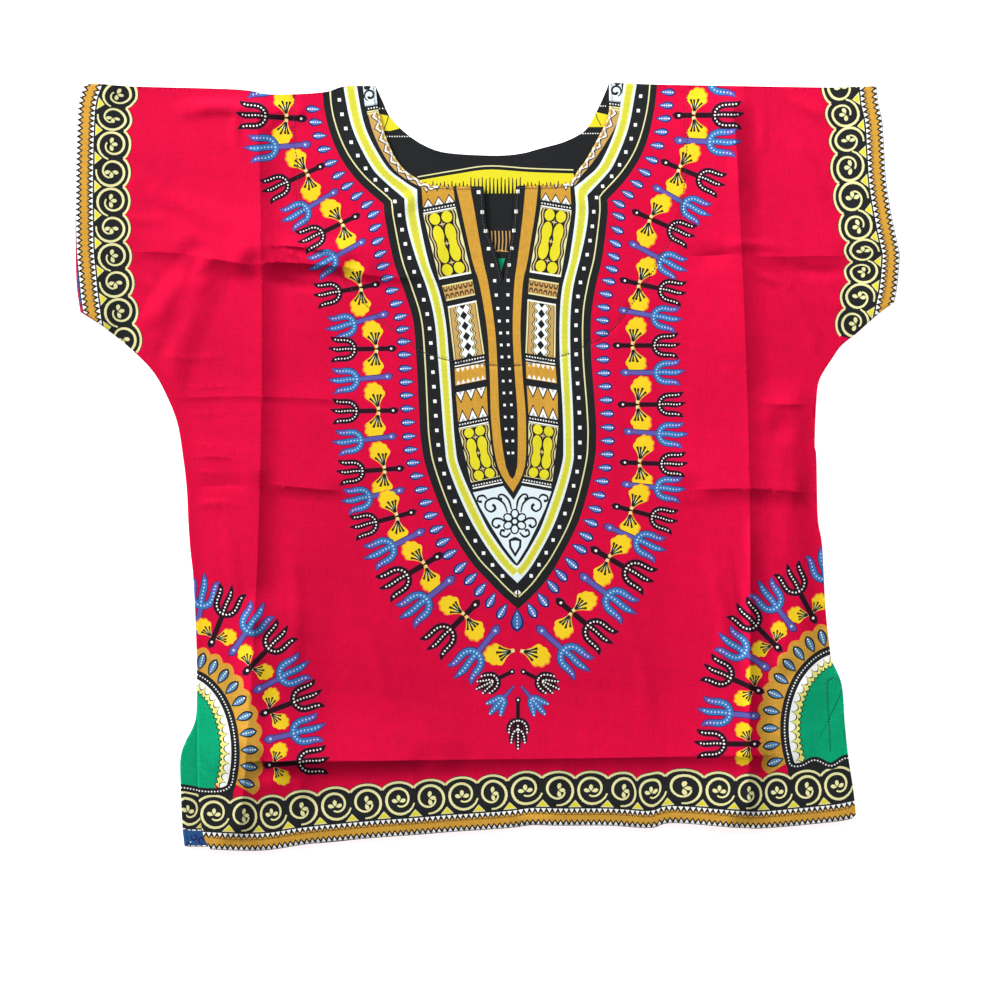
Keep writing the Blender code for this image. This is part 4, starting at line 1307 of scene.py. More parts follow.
SEAM_AWAY = Away(SEAM_RUNS)
TURNED_AWAY = Away(TURNED_RUNS)
FRONT_AWAY = Away([closed(outline_of(FRONT_EDGES, COARSE))], [closed(FRONT_EDGE)])
BACK_AWAY = Away([closed(outline_of(BACK_EDGES, COARSE))], [closed(BACK_EDGE)])
FRONT_LIP = Away(TURNED_RUNS, [RUNS[name] for name in FRONT_TURNED])
BACK_LIP = Away(TURNED_RUNS, [RUNS[name] for name in BACK_TURNED])
FACING_RUN = smooth_run(FACING, CREASE_STEP)
FACING_AWAY = Away([FACING_RUN], [FACING_RUN])
RIDGES = [fold_line(*row[:3]) for row in FOLDS]
RIDGE_AWAY = Away(RIDGES, RIDGES)


def rolled(away):
    """How far the cloth's surface rounds off at its edge."""
    return 0.5 * np.clip(1 - away / ROLL, 0, 1)**2


def back_form(points):
    """Height of the back panel's wall, which its turn-ups follow."""
    held = ease(SEAM_AWAY(points) / CREASE_RUN)
    raised = sum(fold_height(points, row) for row in THROUGH)
    return WALL + BACK_SHARE * raised * held


def back_top(points):
    """Height of the back panel's inner side over its resting surface."""
    form = back_form(points)
    low = form - WALL + CLOTH - rolled(BACK_AWAY(points))
    return np.where(BACK_LIP(points) < LIP, form + LAYER, low)


def back_low(points):
    """Height of the back panel's outer side, which rests flat."""
    return 0.6 * rolled(BACK_AWAY(points))


def past_turnups(points):
    """How far each point lies past the turned edges, as a share of the way down."""
    return ease((TURNED_AWAY(points) - TURNUP_WIDTH - EDGE_CLEAR) / TURNUP_RUN)


def front_form(points):
    """Height of the front panel's wall, which its turn-ups follow."""
    from_seam, past = SEAM_AWAY(points), past_turnups(points)
    layers = LAYER + TURNUP_LAYERS * LAYER * (1 - past)
    puff = PUFF * ease(from_seam / PUFF_RUN) * past
    raised = sum(fold_height(points, row) for row in FOLDS)
    return WALL + layers + puff + raised * ease(from_seam / CREASE_RUN)


def front_top(points):
    """Height of the front panel's outer side over the resting surface."""
    small = sum(fold_height(points, row) for row in WRINKLES) + ripple(points)
    small = small * ease(SEAM_AWAY(points) / CREASE_RUN) * (0.35 + 0.65 * past_turnups(points))
    dent = FACING_DENT * np.clip(1 - FACING_AWAY(points) / FACING_REACH, 0, 1)
    return front_form(points) + small - dent - rolled(FRONT_AWAY(points))


def front_low(points):
    """Height of the front panel's inner side."""
    return np.where(FRONT_LIP(points) < LIP, front_form(points) - WALL - LAYER,
                    front_top(points) - CLOTH)


# ---------------------------------------------------------------- meshes

def wound(points, ring):
    """Whether each point lies inside a closed ring."""
    turns = np.zeros(len(points), int)
    x, y = points.T
    for (ax, ay), (bx, by) in zip(ring, np.roll(ring, -1, axis=0)):
        left = (bx - ax) * (y - ay) - (x - ax) * (by - ay)
        turns += (ay <= y) & (by > y) & (left > 0)
        turns -= (ay > y) & (by <= y) & (left < 0)
    return turns != 0


def triangulated(outline, shapes, extra):
    """Triangles of a flat panel with its printed shapes, and each one's ink."""
    places, edges = [], []
    for ring in [outline] + [shape for _, shape in shapes]:
        first, count = len(places), len(ring)
        edges += [(first + i, first + (i + 1) % count) for i in range(count)]
        places.extend(Vector((float(x), float(y))) for x, y in ring)
    places.extend(Vector((float(x), float(y))) for x, y in extra)
    found = delaunay_2d_cdt(places, edges, [], 0, 1e-4, False)
    flat = np.array([(v.x, v.y) for v in found[0]])
    triangles = np.array(found[2])
    a, b, c = (flat[triangles[:, k]] for k in range(3))
    turn = (b - a)[:, 0] * (c - a)[:, 1] - (b - a)[:, 1] * (c - a)[:, 0]
    triangles[turn < 0] = triangles[turn < 0][:, ::-1]
    middles = (a + b + c) / 3
    keep = wound(middles, outline)
    triangles, middles = triangles[keep], middles[keep]
    order = np.argsort(middles[:, 0])
    triangles, middles = triangles[order], middles[order]
    inks = np.full(len(triangles), "", dtype=object)
    for ink, ring in shapes:
        (x0, y0), (x1, y1) = ring.min(axis=0), ring.max(axis=0)
        low, high = np.searchsorted(middles[:, 0], (x0, x1))
        band = middles[low:high]
        near = low + np.flatnonzero((band[:, 1] > y0) & (band[:, 1] < y1))
        if len(near):
            inks[near[wound(middles[near], ring)]] = ink
    used, triangles = np.unique(triangles, return_inverse=True)
    return flat[used], triangles.reshape(-1, 3), inks


def rim_loop(flat, triangles, start):
    """The panel's boundary in order, from the corner nearest to a start."""
    forward = {}
    edges = np.vstack([triangles[:, [0, 1]], triangles[:, [1, 2]], triangles[:, [2, 0]]])
    keys = set(map(tuple, edges.tolist()))
    for a, b in keys:
        if (b, a) not in keys:
            forward[a] = b
    rim = np.array(list(forward))
    first = int(rim[np.argmin(np.linalg.norm(flat[rim] - start, axis=1))])
    loop, here = [first], forward[first]
    while here != first:
        loop.append(here)
        here = forward[here]
    return loop


def lattice(low, high, step):
    """A staggered grid of points over a box."""
    xs = np.arange(low[0], high[0], step)
    ys = np.arange(low[1], high[1], step * 0.866)
    grid = np.stack(np.meshgrid(xs, ys), -1)
    grid[1::2, :, 0] += step / 2
    return grid.reshape(-1, 2)


def crease_rows(rows, step=CREASE_STEP):
    """Points along the folds: on each ridge and on both of its flanks."""
    out = []
    for row in rows:
        fold = dict(zip(FOLD_COLUMNS, row))
        line = spots_along(fold_line(fold["start"], fold["middle"], fold["end"]), step)
        for way, reach in ((1, fold["left"]), (-1, fold["right"])):
            for offset in (0.6, 2.0, 0.35 * reach, 0.65 * reach, 0.95 * reach):
                out.append(moved_aside(line, way * offset))
    return np.vstack(out)


def edge_rows(run):
    """Points just inside an edge, where it rolls or folds over."""
    spots = spots_along(run, CREASE_STEP)
    return np.vstack([moved_aside(spots, depth) for depth in (0.7, 1.3, 2.2, 3.5)])


SLOPE_STEP = 0.4        # a surface's slope is taken over this distance
MAP_SHIFT = (420.0, 400.0)      # brings every place of the cloth above zero
FINE_SPOT = (0.005, 0.005, 0.00092)      # X, Y and scale of the printed side on its map
PLAIN_SPOT = (0.005, 0.78, 0.00026)
RIM_START, RIM_LENGTH, RIM_LEVEL = 0.80, 0.19, 0.01      # the rim's strip on the map


class Shell:
    """A closed thin mesh, put together from an upper and a lower side."""

    def __init__(self):
        self.places, self.faces, self.inks, self.normals, self.maps = [], [], [], [], []
        self.count = 0

    def side(self, flat, triangles, inks, height, up, ground, spot):
        """Adds one side at its height, facing up or down; returns its first index."""
        z = height(flat)
        slope = [(height(flat + step) - z) / SLOPE_STEP
                 for step in ((SLOPE_STEP, 0.0), (0.0, SLOPE_STEP))]
        normal = unit(np.column_stack([-slope[0], -slope[1], np.ones(len(z))]))
        normal *= 1 if up else -1
        faces = triangles if up else triangles[:, ::-1]
        base = self.count
        self.places.append(np.column_stack([flat, z]))
        self.faces.append(faces + base)
        self.inks += [ink or ground for ink in inks]
        self.normals.append(normal[faces].reshape(-1, 3))
        x0, y0, scale = spot
        self.maps.append(((flat + MAP_SHIFT) * scale + [x0, y0])[faces].reshape(-1, 2))
        self.count += len(flat)
        return base

    def rim(self, upper, lower, upper_base, lower_base, ground):
        """Closes the gap between two boundary loops of (flat, loop)."""
        ways = []
        for flat, loop in (upper, lower):
            ring = flat[loop + loop[:1]]
            lengths = lengths_along(ring)
            ways.append(lengths / lengths[-1])
        top = [i + upper_base for i in upper[1] + upper[1][:1]]
        low = [i + lower_base for i in lower[1] + lower[1][:1]]
        i = j = 0
        faces = []
        while i < len(top) - 1 or j < len(low) - 1:
            if j == len(low) - 1 or (i < len(top) - 1 and ways[0][i + 1] <= ways[1][j + 1]):
                faces.append((top[i], low[j], top[i + 1]))
                i += 1
            else:
                faces.append((top[i], low[j], low[j + 1]))
                j += 1
        places = np.vstack(self.places)
        faces = np.array(faces)
        a, b, c = (places[faces[:, k]] for k in range(3))
        normal = np.cross(b - a, c - a)
        normal[:, 2] = 0.0
        normal = unit(normal)
        self.faces.append(faces)
        self.inks += [ground] * len(faces)
        self.normals.append(np.repeat(normal, 3, axis=0))
        share = np.linspace(0, 1, len(faces))
        strip = pair(RIM_START + RIM_LENGTH * share, RIM_LEVEL)
        self.maps.append(np.repeat(strip, 3, axis=0)
                         + np.tile([(0, 0), (0, 0.004), (0.001, 0)], (len(faces), 1)))

    def build(self, name):
        """Makes the object, with one material for each ink."""
        mesh = bpy.data.meshes.new(name)
        faces = np.vstack(self.faces)
        places = np.vstack(self.places) * MM
        mesh.vertices.add(len(places))
        mesh.vertices.foreach_set("co", places.astype(np.float32).ravel())
        mesh.loops.add(faces.size)
        mesh.loops.foreach_set("vertex_index", faces.astype(np.int32).ravel())
        mesh.polygons.add(len(faces))
        mesh.polygons.foreach_set("loop_start", np.arange(0, faces.size, 3, dtype=np.int32))
        names = sorted(set(self.inks))
        for ink in names:
            mesh.materials.append(ink_material(ink))
        index = {ink: i for i, ink in enumerate(names)}
        mesh.polygons.foreach_set("material_index",
                                  np.array([index[ink] for ink in self.inks], np.int32))
        uv = mesh.uv_layers.new(name="OFBake")
        uv.uv.foreach_set("vector", np.vstack(self.maps).astype(np.float32).ravel())
        mesh.update(calc_edges=True)
        mesh.validate()
        mesh.normals_split_custom_set([tuple(n) for n in np.vstack(self.normals).tolist()])
        piece = bpy.data.objects.new(name, mesh)
        bpy.context.scene.collection.objects.link(piece)
        return piece


def cloth_shell(name, outline, printed, plain, height_up, height_down, print_up, extra,
                grounds):
    """A cloth panel: its printed side in full detail, its other side plainer."""
    low, high = outline.min(axis=0), outline.max(axis=0)
    shell = Shell()
    sides = {}
    for up in (True, False):
        fine = up == print_up
        ground = lattice(low, high, FINE_LATTICE if fine else PLAIN_LATTICE)
        ground = ground[RIDGE_AWAY(ground) > RIDGE_CLEAR]
        points = np.vstack([ground, extra if fine or up else extra[::3]])
        flat, triangles, inks = triangulated(outline, printed if fine else plain, points)
        loop = rim_loop(flat, triangles, outline[0])
        base = shell.side(flat, triangles, inks, height_up if up else height_down, up,
                          grounds[0 if fine else 1], FINE_SPOT if fine else PLAIN_SPOT)
        sides[up] = ((flat, loop), base)
    (upper, upper_base), (lower, lower_base) = sides[True], sides[False]
    shell.rim(upper, lower, upper_base, lower_base, grounds[0])
    return shell.build(name)


# ---------------------------------------------------------------- pieces

def sheet_facts(piece, node):
    """Hangs a piece of cloth from the root and hides the part it stands for."""
    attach(piece, "root")
    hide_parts(node)


def make_front():
    """The front panel, printed on its upper side."""
    sheet = front_print()
    line = spots_along(FACING_RUN, CREASE_STEP)
    extra = np.vstack([crease_rows(FOLDS), crease_rows(WRINKLES, WRINKLE_STEP),
                       edge_rows(closed(FRONT_EDGE)), moved_aside(line, FACING_REACH),
                       moved_aside(line, -FACING_REACH), line])
    piece = cloth_shell("front_cloth", FRONT_EDGE, sheet.shapes, [], front_top, front_low,
                        True, extra, ("red", "reverse"))
    sheet_facts(piece, "front")


def make_back():
    """The back panel, printed on the side that rests."""
    sheet, inside = outer_print("back_hem", "back_cuff_left"), back_inside_print()
    extra = np.vstack([crease_rows(THROUGH, BACK_CREASE_STEP), edge_rows(closed(BACK_EDGE))])
    piece = cloth_shell("back_cloth", BACK_EDGE, sheet.shapes, inside.shapes, back_top,
                        back_low, False, extra, ("red", "reverse"))
    sheet_facts(piece, "back")


def over(form, lift):
    """A height that lies over a panel's form by so much."""
    return lambda points: form(points) + lift


def make_turnups():
    """The turned-up hems and cuffs between the two panels."""
    for panel, names, form, lift in (("back", BACK_TURNED, back_form, SEAM_GAP),
                                     ("front", FRONT_TURNED, front_form, -WALL - LAYER)):
        for edge, name in zip(FRONT_TURNED, names):
            node = f"{panel}_{edge}_turnup"
            sheet, put = Sheet(), run_map(RUNS[name])
            turnup_print(sheet, put, put.total, TURNUP_WIDTH)
            steps = np.arange(3.0, put.total - 3.0, CREASE_STEP)
            outline = np.vstack([put(pair(steps, LIP + 0.2)),
                                 put(pair(steps, TURNUP_WIDTH))[::-1]])
            piece = cloth_shell(node + "_cloth", outline, sheet.shapes, [],
                                over(form, lift + CLOTH), over(form, lift), panel == "back",
                                np.zeros((0, 2)), ("denim", "reverse"))
            sheet_facts(piece, node)


STITCH_PITCH, STITCH_LENGTH = 3.2, 2.95
THREAD_RADIUS, FACING_THREAD_RADIUS = 0.27, 0.34
HEM_STITCH_DEPTH, NECK_STITCH_DEPTH = 12.0, 2.6          # from the edge to the stitches


def stitches(name, thread, runs, radius=THREAD_RADIUS):
    """Sewing along runs on the front panel: one small bent thread for each stitch."""
    places, faces, sides, rings = [], [], 6, 4
    share = np.linspace(0, 1, rings)
    lift = radius * (1.1 - 1.5 * (2 * share - 1)**4)
    thick = radius * np.array([0.35, 1.0, 1.0, 0.35])
    for run in runs:
        lengths = lengths_along(run)
        starts = np.arange(1.0, lengths[-1] - STITCH_LENGTH, STITCH_PITCH)
        spots = read(starts[:, None] + share[None, :] * STITCH_LENGTH, lengths, run)
        aside = left_of(unit(spots[:, -1] - spots[:, 0]))
        z = front_top(spots.reshape(-1, 2)).reshape(spots.shape[:2])
        for i in range(len(starts)):
            base = len(places)
            for k in range(rings):
                for turn in np.arange(sides) * 2 * math.pi / sides:
                    off = aside[i] * thick[k] * math.cos(turn)
                    places.append((spots[i, k, 0] + off[0], spots[i, k, 1] + off[1],
                                   z[i, k] + lift[k] + thick[k] * math.sin(turn)))
            for k in range(base, base + (rings - 1) * sides, sides):
                for m in range(sides):
                    n = (m + 1) % sides
                    faces.append((k + m, k + n, k + sides + n, k + sides + m))
            faces.append([base + m for m in range(sides)][::-1])
            faces.append([base + (rings - 1) * sides + m for m in range(sides)])
    mesh = bpy.data.meshes.new(name)
    mesh.from_pydata((np.array(places) * MM).tolist(), [], faces)
    mesh.materials.append(thread_material(thread))
    mesh.shade_smooth()
    made = bmesh.new()
    made.from_mesh(mesh)
    bmesh.ops.recalc_face_normals(made, faces=made.faces)
    made.to_mesh(mesh)
    made.free()
    piece = bpy.data.objects.new(name, mesh)
    bpy.context.scene.collection.objects.link(piece)
    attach(piece, "root")


def inside_edge(run, depth):
    """A run moved into the panel, for a line of stitches."""
    return moved_aside(spots_along(run, 6.0), depth)


def make_stitching():
    """Stitches round the neck facing, along the turned edges and at the vent."""
    stitches("facing_stitches", "thread_red", [FACING_RUN], FACING_THREAD_RADIUS)
    stitches("edge_stitches", "thread_ochre",
             [inside_edge(RUNS[name], HEM_STITCH_DEPTH) for name in FRONT_TURNED])
    stitches("neck_stitches", "thread_dark",
             [inside_edge(RUNS[name], NECK_STITCH_DEPTH)
              for name in ("neck_right", "slit_right", "slit_left", "neck_left")])
    stitches("vent_stitches", "thread_green", [smooth_run(VENT_STITCHES, CREASE_STEP)])


# ---------------------------------------------------------------- materials

# Inks as they look in plain light, 0 to 255.
INKS = {
    "red": (211, 4, 58), "reverse": (200, 60, 96), "mauve": (122, 30, 76),
    "sky": (176, 214, 240), "black": (32, 34, 36), "soot": (42, 16, 24),
    "white": (248, 249, 246), "pale": (222, 236, 242), "cream": (226, 222, 162),
    "lemon": (224, 214, 44), "lemonade": (232, 230, 128), "citron": (208, 206, 66),
    "yellow": (241, 204, 36), "flame": (232, 138, 44), "orange": (203, 152, 58),
    "tan": (198, 158, 92), "sand": (208, 184, 132), "brown": (88, 62, 38),
    "azure": (62, 114, 178), "denim": (44, 84, 136), "dropblue": (86, 122, 190),
    "steelblue": (84, 130, 172), "steel": (170, 180, 190), "violet": (96, 88, 166),
    "navy": (36, 38, 100), "green": (4, 160, 112), "thread_red": (36, 4, 16),
    "thread_ochre": (176, 128, 48), "thread_dark": (60, 62, 66),
    "thread_green": (8, 74, 58),
}
# Large fields of ink, and how unevenly they took the dye.
GROUNDS = {"red": 0.24, "reverse": 0.2, "black": 0.4, "orange": 0.26, "green": 0.26}


def linear(ink):
    """An ink's colour as light, for a shader."""
    out = []
    for part in INKS[ink]:
        c = part / 255
        out.append(c / 12.92 if c <= 0.04045 else ((c + 0.055) / 1.055)**2.4)
    return (*out, 1.0)


def set_inputs(node, values):
    """Gives a node's inputs their values."""
    for key, value in values.items():
        node.inputs[key].default_value = value


def add_node(tree, kind, name, values=None, **settings):
    """A node with its settings and the values of its inputs."""
    node = tree.nodes.new(kind)
    node.name = node.label = name
    for key, value in settings.items():
        setattr(node, key, value)
    set_inputs(node, values or {})
    return node


def new_material(name, colour, values):
    """A material in one colour; returns it, its nodes and its shader."""
    material = bpy.data.materials.new(name)
    material.use_nodes = True
    material.diffuse_color = colour
    shader = material.node_tree.nodes["Principled BSDF"]
    set_inputs(shader, {"Base Color": colour, **values})
    return material, material.node_tree, shader


def add_relief(tree, shader, height, name, strength, distance):
    """Bumps a shader's surface by a height."""
    bump = add_node(tree, "ShaderNodeBump", name, {"Strength": strength, "Distance": distance})
    tree.links.new(height, bump.inputs["Height"])
    tree.links.new(bump.outputs[0], shader.inputs["Normal"])


def socket_math(tree, kind, first, second=None, third=None):
    """A Math node on sockets or numbers; returns its output."""
    node = tree.nodes.new("ShaderNodeMath")
    node.operation = kind
    for i, part in enumerate((first, second, third)):
        if part is None:
            continue
        if isinstance(part, (int, float)):
            node.inputs[i].default_value = part
        else:
            tree.links.new(part, node.inputs[i])
    return node.outputs[0]


def cotton_group():
    """Woven cotton: thread relief, slubs, and the uneven take-up of dye."""
    found = bpy.data.node_groups.get("Woven cotton")
    if found:
        return found
    tree = bpy.data.node_groups.new("Woven cotton", "ShaderNodeTree")
    face = tree.interface
    for name, kind, value in (("Ink", "NodeSocketColor", (0.5, 0.5, 0.5, 1.0)),
                              ("Unevenness", "NodeSocketFloat", 0.1),
                              ("Threads per metre", "NodeSocketFloat", 1600.0),
                              ("Slubs", "NodeSocketFloat", 0.5)):
        face.new_socket(name=name, in_out="INPUT", socket_type=kind).default_value = value
    for name, kind in (("Colour", "NodeSocketColor"), ("Height", "NodeSocketFloat"),
                       ("Roughness", "NodeSocketFloat")):
        face.new_socket(name=name, in_out="OUTPUT", socket_type=kind)
    inward = add_node(tree, "NodeGroupInput", "Inputs")
    outward = add_node(tree, "NodeGroupOutput", "Outputs")
    link = tree.links.new
    place = add_node(tree, "ShaderNodeTexCoord", "Place").outputs["Object"]
    split = add_node(tree, "ShaderNodeSeparateXYZ", "Directions")
    link(place, split.inputs[0])
    waves = []
    for axis in ("X", "Y"):
        turn = socket_math(tree, "MULTIPLY", split.outputs[axis],
                           inward.outputs["Threads per metre"])
        turn = socket_math(tree, "MULTIPLY", turn, math.pi)
        waves.append(socket_math(tree, "SINE", turn))
    weave = socket_math(tree, "MULTIPLY", waves[0], waves[1])
    strands = []
    for name, stretch in (("Weft slubs", (110.0, 760.0, 60.0)),
                          ("Warp slubs", (700.0, 80.0, 60.0))):
        mapping = add_node(tree, "ShaderNodeMapping", name, {"Scale": stretch})
        link(place, mapping.inputs["Vector"])
        noise = add_node(tree, "ShaderNodeTexNoise", name + " noise",
                         {"Scale": 1.0, "Detail": 2.0, "Roughness": 0.6})
        link(mapping.outputs[0], noise.inputs["Vector"])
        strands.append(noise.outputs["Fac"])
    slub = socket_math(tree, "ADD", strands[0], strands[1])
    slub = socket_math(tree, "SUBTRACT", slub, 1.0)
    cloud = add_node(tree, "ShaderNodeTexNoise", "Dye clouds",
                     {"Scale": 9.0, "Detail": 4.0, "Roughness": 0.55})
    link(place, cloud.inputs["Vector"])
    clouds = socket_math(tree, "SUBTRACT", cloud.outputs["Fac"], 0.5)
    height = socket_math(tree, "MULTIPLY", slub, inward.outputs["Slubs"])
    height = socket_math(tree, "MULTIPLY_ADD", weave, 0.16, height)
    link(height, outward.inputs["Height"])
    tone = socket_math(tree, "MULTIPLY_ADD", slub, 1.5, clouds)
    tone = socket_math(tree, "MULTIPLY_ADD", weave, 0.2, tone)
    tone = socket_math(tree, "MULTIPLY", tone, inward.outputs["Unevenness"])
    value = socket_math(tree, "ADD", tone, 1.0)
    shade = add_node(tree, "ShaderNodeHueSaturation", "Dye depth")
    link(inward.outputs["Ink"], shade.inputs["Color"])
    link(value, shade.inputs["Value"])
    link(shade.outputs[0], outward.inputs["Colour"])
    rough = socket_math(tree, "MULTIPLY_ADD", slub, 0.16, 0.80)
    link(rough, outward.inputs["Roughness"])
    return tree


def ink_colour(ink):
    """The colour of an ink: the user's own where there is a setting for it."""
    chosen = getattr(bpy.context.scene.shirt_cloth, "ink_" + ink, None)
    return (*chosen, 1.0) if chosen else linear(ink)


def ink_material(ink):
    """Printed cotton in one ink."""
    name = "cotton_" + ink
    found = bpy.data.materials.get(name)
    if found:
        return found
    size = bpy.context.scene.shirt_cloth
    colour = ink_colour(ink)
    material, tree, shader = new_material(name, colour, {"Specular IOR Level": 0.08})
    cotton = add_node(tree, "ShaderNodeGroup", "Cotton", node_tree=cotton_group())
    set_inputs(cotton, {"Ink": colour, "Unevenness": GROUNDS.get(ink, 0.0),
                        "Threads per metre": 1.0 / size.thread_pitch, "Slubs": size.slubs})
    if ink in GROUNDS:
        tree.links.new(cotton.outputs["Colour"], shader.inputs["Base Color"])
    tree.links.new(cotton.outputs["Roughness"], shader.inputs["Roughness"])
    add_relief(tree, shader, cotton.outputs["Height"], "Weave relief", 0.3, 0.0005)
    return material


def thread_material(ink):
    """Twisted sewing thread."""
    found = bpy.data.materials.get(ink)
    if found:
        return found
    material, tree, shader = new_material(ink, linear(ink),
                                          {"Roughness": 0.6, "Sheen Weight": 0.2})
    place = add_node(tree, "ShaderNodeTexCoord", "Place")
    twist = add_node(tree, "ShaderNodeTexWave", "Twist",
                     {"Scale": 900.0, "Distortion": 0.6, "Detail": 1.0},
                     bands_direction="DIAGONAL")
    tree.links.new(place.outputs["Object"], twist.inputs["Vector"])
    add_relief(tree, shader, twist.outputs["Fac"], "Twist relief", 0.6, 0.0001)
    return material


def paper_material():
    """The pale floor."""
    white = (1.0, 1.0, 1.0, 1.0)
    material, tree, shader = new_material("pale_floor", white, {
        "Roughness": 0.9, "Specular IOR Level": 0.1, "Emission Color": white,
        "Emission Strength": 0.8})
    noise = add_node(tree, "ShaderNodeTexNoise", "Paper", {"Scale": 600.0, "Detail": 3.0})
    ramp = add_node(tree, "ShaderNodeValToRGB", "Paper tone")
    ramp.color_ramp.elements[0].color = (0.93, 0.93, 0.93, 1)
    ramp.color_ramp.elements[1].color = (0.96, 0.96, 0.96, 1)
    tree.links.new(noise.outputs["Fac"], ramp.inputs["Fac"])
    tree.links.new(ramp.outputs["Color"], shader.inputs["Base Color"])
    return material


# ---------------------------------------------------------------- stage

VIEW_FIELD = 1.0        # the view is this many metres across at the shirt
VIEW_HEIGHT = 2.6       # the camera's height over the shirt
VIEW_MIDDLE = (0.0125, -0.0335, 0.004)
FLOOR_REACH, FLOOR_LEVEL = 40.0, -0.0005
KEY_PLACE, KEY_ANGLE, KEY_TINT = (-1.9, 1.9, 0.7), 12.0, (1.0, 0.985, 0.97)
FILL_PLACE, FILL_SIZE, FILL_TINT = (0.7, 0.8, 0.7), 0.8, (0.97, 0.98, 1.0)
SURROUND_TINT = (0.96, 0.975, 1.0, 1.0)


def aimed(thing, place, target):
    """Puts a lamp or camera at a place, looking at a target."""
    thing.location = place
    way = Vector(target) - Vector(place)
    thing.rotation_euler = way.to_track_quat("-Z", "Y").to_euler()


def add_lamp(name, kind, power, spread, place, colour):
    """A soft light: a distant one spreads over an angle, a near one over a size."""
    lamp = bpy.data.lights.new(name, kind)
    lamp.energy, lamp.color = power, colour
    if kind == "SUN":
        lamp.angle = math.radians(spread)
    else:
        lamp.shape, lamp.size = "SQUARE", spread
    thing = bpy.data.objects.new(name, lamp)
    bpy.context.scene.collection.objects.link(thing)
    aimed(thing, place, (0.0, 0.0, 0.0))


def make_stage():
    """Floor, light from the upper left, and the camera straight above."""
    scene = bpy.context.scene
    light = scene.shirt_stage
    mesh = bpy.data.meshes.new("floor")
    corners = ((-1, -1), (1, -1), (1, 1), (-1, 1))
    mesh.from_pydata([(x * FLOOR_REACH, y * FLOOR_REACH, FLOOR_LEVEL) for x, y in corners],
                     [], [(0, 1, 2, 3)])
    mesh.materials.append(paper_material())
    floor = bpy.data.objects.new("floor", mesh)
    scene.collection.objects.link(floor)
    add_lamp("key_light", "SUN", light.key_power, KEY_ANGLE, KEY_PLACE, KEY_TINT)
    for side in (-1, 1):
        place = (side * FILL_PLACE[0], *FILL_PLACE[1:])
        add_lamp("fill_light", "AREA", light.fill_power, FILL_SIZE, place, FILL_TINT)
    world = bpy.data.worlds.new("studio")
    world.use_nodes = True
    back = world.node_tree.nodes["Background"]
    set_inputs(back, {"Color": SURROUND_TINT, "Strength": light.surround})
    scene.world = world
    scene.view_settings.view_transform = "Standard"
    camera = bpy.data.cameras.new("camera")
    camera.sensor_width = 36.0
    camera.lens = camera.sensor_width * VIEW_HEIGHT / VIEW_FIELD
    thing = bpy.data.objects.new("camera", camera)
    scene.collection.objects.link(thing)
    thing.location = Vector(VIEW_MIDDLE) + Vector((0.0, 0.0, VIEW_HEIGHT))
    scene.camera = thing


# ---------------------------------------------------------------- add-on

def ink_setting(ink, name, about):
    """A colour setting that starts as one of the inks."""
    return FloatVectorProperty(name=name, description=about, subtype="COLOR", size=3,
                               min=0.0, max=1.0, default=linear(ink)[:3])


class ShirtCloth(bpy.types.PropertyGroup):
    """What the cloth is like."""

    thread_pitch: FloatProperty(name="Thread pitch", unit="LENGTH", default=0.0007,
                                description="Distance from one thread to the next",
                                min=0.0002, max=0.003)
    slubs: FloatProperty(name="Slubs", default=0.5, min=0.0, max=2.0,
                         description="How much thick places in the threads show")
    ink_red: ink_setting("red", "Ground", "Colour of the cloth's ground")
    ink_black: ink_setting("black", "Black ink", "Colour of the yoke, borders and outlines")
    ink_orange: ink_setting("orange", "Orange ink", "Colour of the strips and roundels")
    ink_green: ink_setting("green", "Green ink", "Colour of the roundels' middles")
    ink_yellow: ink_setting("yellow", "Yellow ink", "Colour of the flowers")
    ink_azure: ink_setting("azure", "Blue ink", "Colour of the blue forks' heads")
    ink_cream: ink_setting("cream", "Cream ink", "Colour of the scrolls and fine lines")


class ShirtStage(bpy.types.PropertyGroup):
    """How the shirt is lit."""

    key_power: FloatProperty(name="Key light", default=6.6,
                             description="Strength of the light from the upper left")
    fill_power: FloatProperty(name="Fill light", unit="POWER", default=6.6,
                              description="Power of the light over the neck")
    surround: FloatProperty(name="Surround", default=0.19,
                            description="Strength of the light from all round")


class SHIRT_OT_back(bpy.types.Operator):
    """Makes the back panel, which lies underneath."""

    bl_idname = "shirt.back"
    bl_label = "Back panel"

    def execute(self, context):
        make_back()
        return {"FINISHED"}


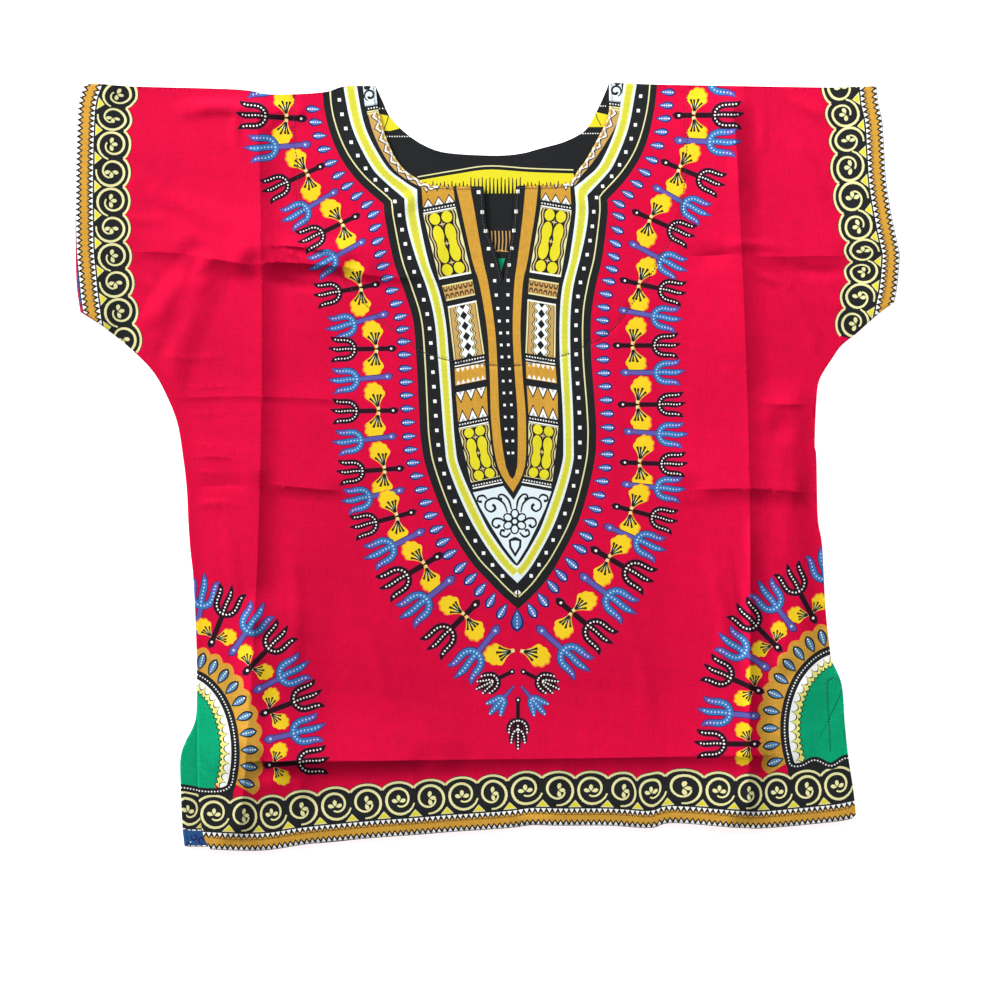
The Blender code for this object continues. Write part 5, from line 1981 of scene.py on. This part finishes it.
class SHIRT_OT_front(bpy.types.Operator):
    """Makes the front panel with its neck slit."""

    bl_idname = "shirt.front"
    bl_label = "Front panel"

    def execute(self, context):
        make_front()
        return {"FINISHED"}


class SHIRT_OT_turnups(bpy.types.Operator):
    """Makes the turned-up hems and cuffs."""

    bl_idname = "shirt.turnups"
    bl_label = "Turned-up edges"

    def execute(self, context):
        make_turnups()
        return {"FINISHED"}


class SHIRT_OT_stitching(bpy.types.Operator):
    """Sews the facing, the edges and the vent."""

    bl_idname = "shirt.stitching"
    bl_label = "Stitching"

    def execute(self, context):
        make_stitching()
        return {"FINISHED"}


class SHIRT_OT_stage(bpy.types.Operator):
    """Makes the floor, the lights and the camera."""

    bl_idname = "shirt.stage"
    bl_label = "Stage"

    def execute(self, context):
        make_stage()
        return {"FINISHED"}


OPERATORS = (SHIRT_OT_stage, SHIRT_OT_back, SHIRT_OT_front, SHIRT_OT_turnups,
             SHIRT_OT_stitching)


class SHIRT_PT_panel(bpy.types.Panel):
    """Lists the shirt's pieces and sizes."""

    bl_idname = "SHIRT_PT_panel"
    bl_label = "Printed pullover shirt"
    bl_space_type = "VIEW_3D"
    bl_region_type = "UI"
    bl_category = "Shirt"

    def draw(self, context):
        for group in (context.scene.shirt_cloth, context.scene.shirt_stage):
            for name in group.__annotations__:
                self.layout.prop(group, name)
        for operator in OPERATORS:
            self.layout.operator(operator.bl_idname)


CLASSES = (ShirtCloth, ShirtStage) + OPERATORS + (SHIRT_PT_panel,)


def register():
    """Registers the add-on's classes and properties."""
    for cls in CLASSES:
        bpy.utils.register_class(cls)
    bpy.types.Scene.shirt_cloth = PointerProperty(type=ShirtCloth)
    bpy.types.Scene.shirt_stage = PointerProperty(type=ShirtStage)


def unregister():
    """Removes the add-on's classes and properties."""
    del bpy.types.Scene.shirt_stage
    del bpy.types.Scene.shirt_cloth
    for cls in reversed(CLASSES):
        bpy.utils.unregister_class(cls)


def main():
    """Makes the whole scene."""
    register()
    bpy.ops.shirt.stage()
    bpy.ops.shirt.back()
    bpy.ops.shirt.front()
    bpy.ops.shirt.turnups()
    bpy.ops.shirt.stitching()


if __name__ == "__main__":
    main()
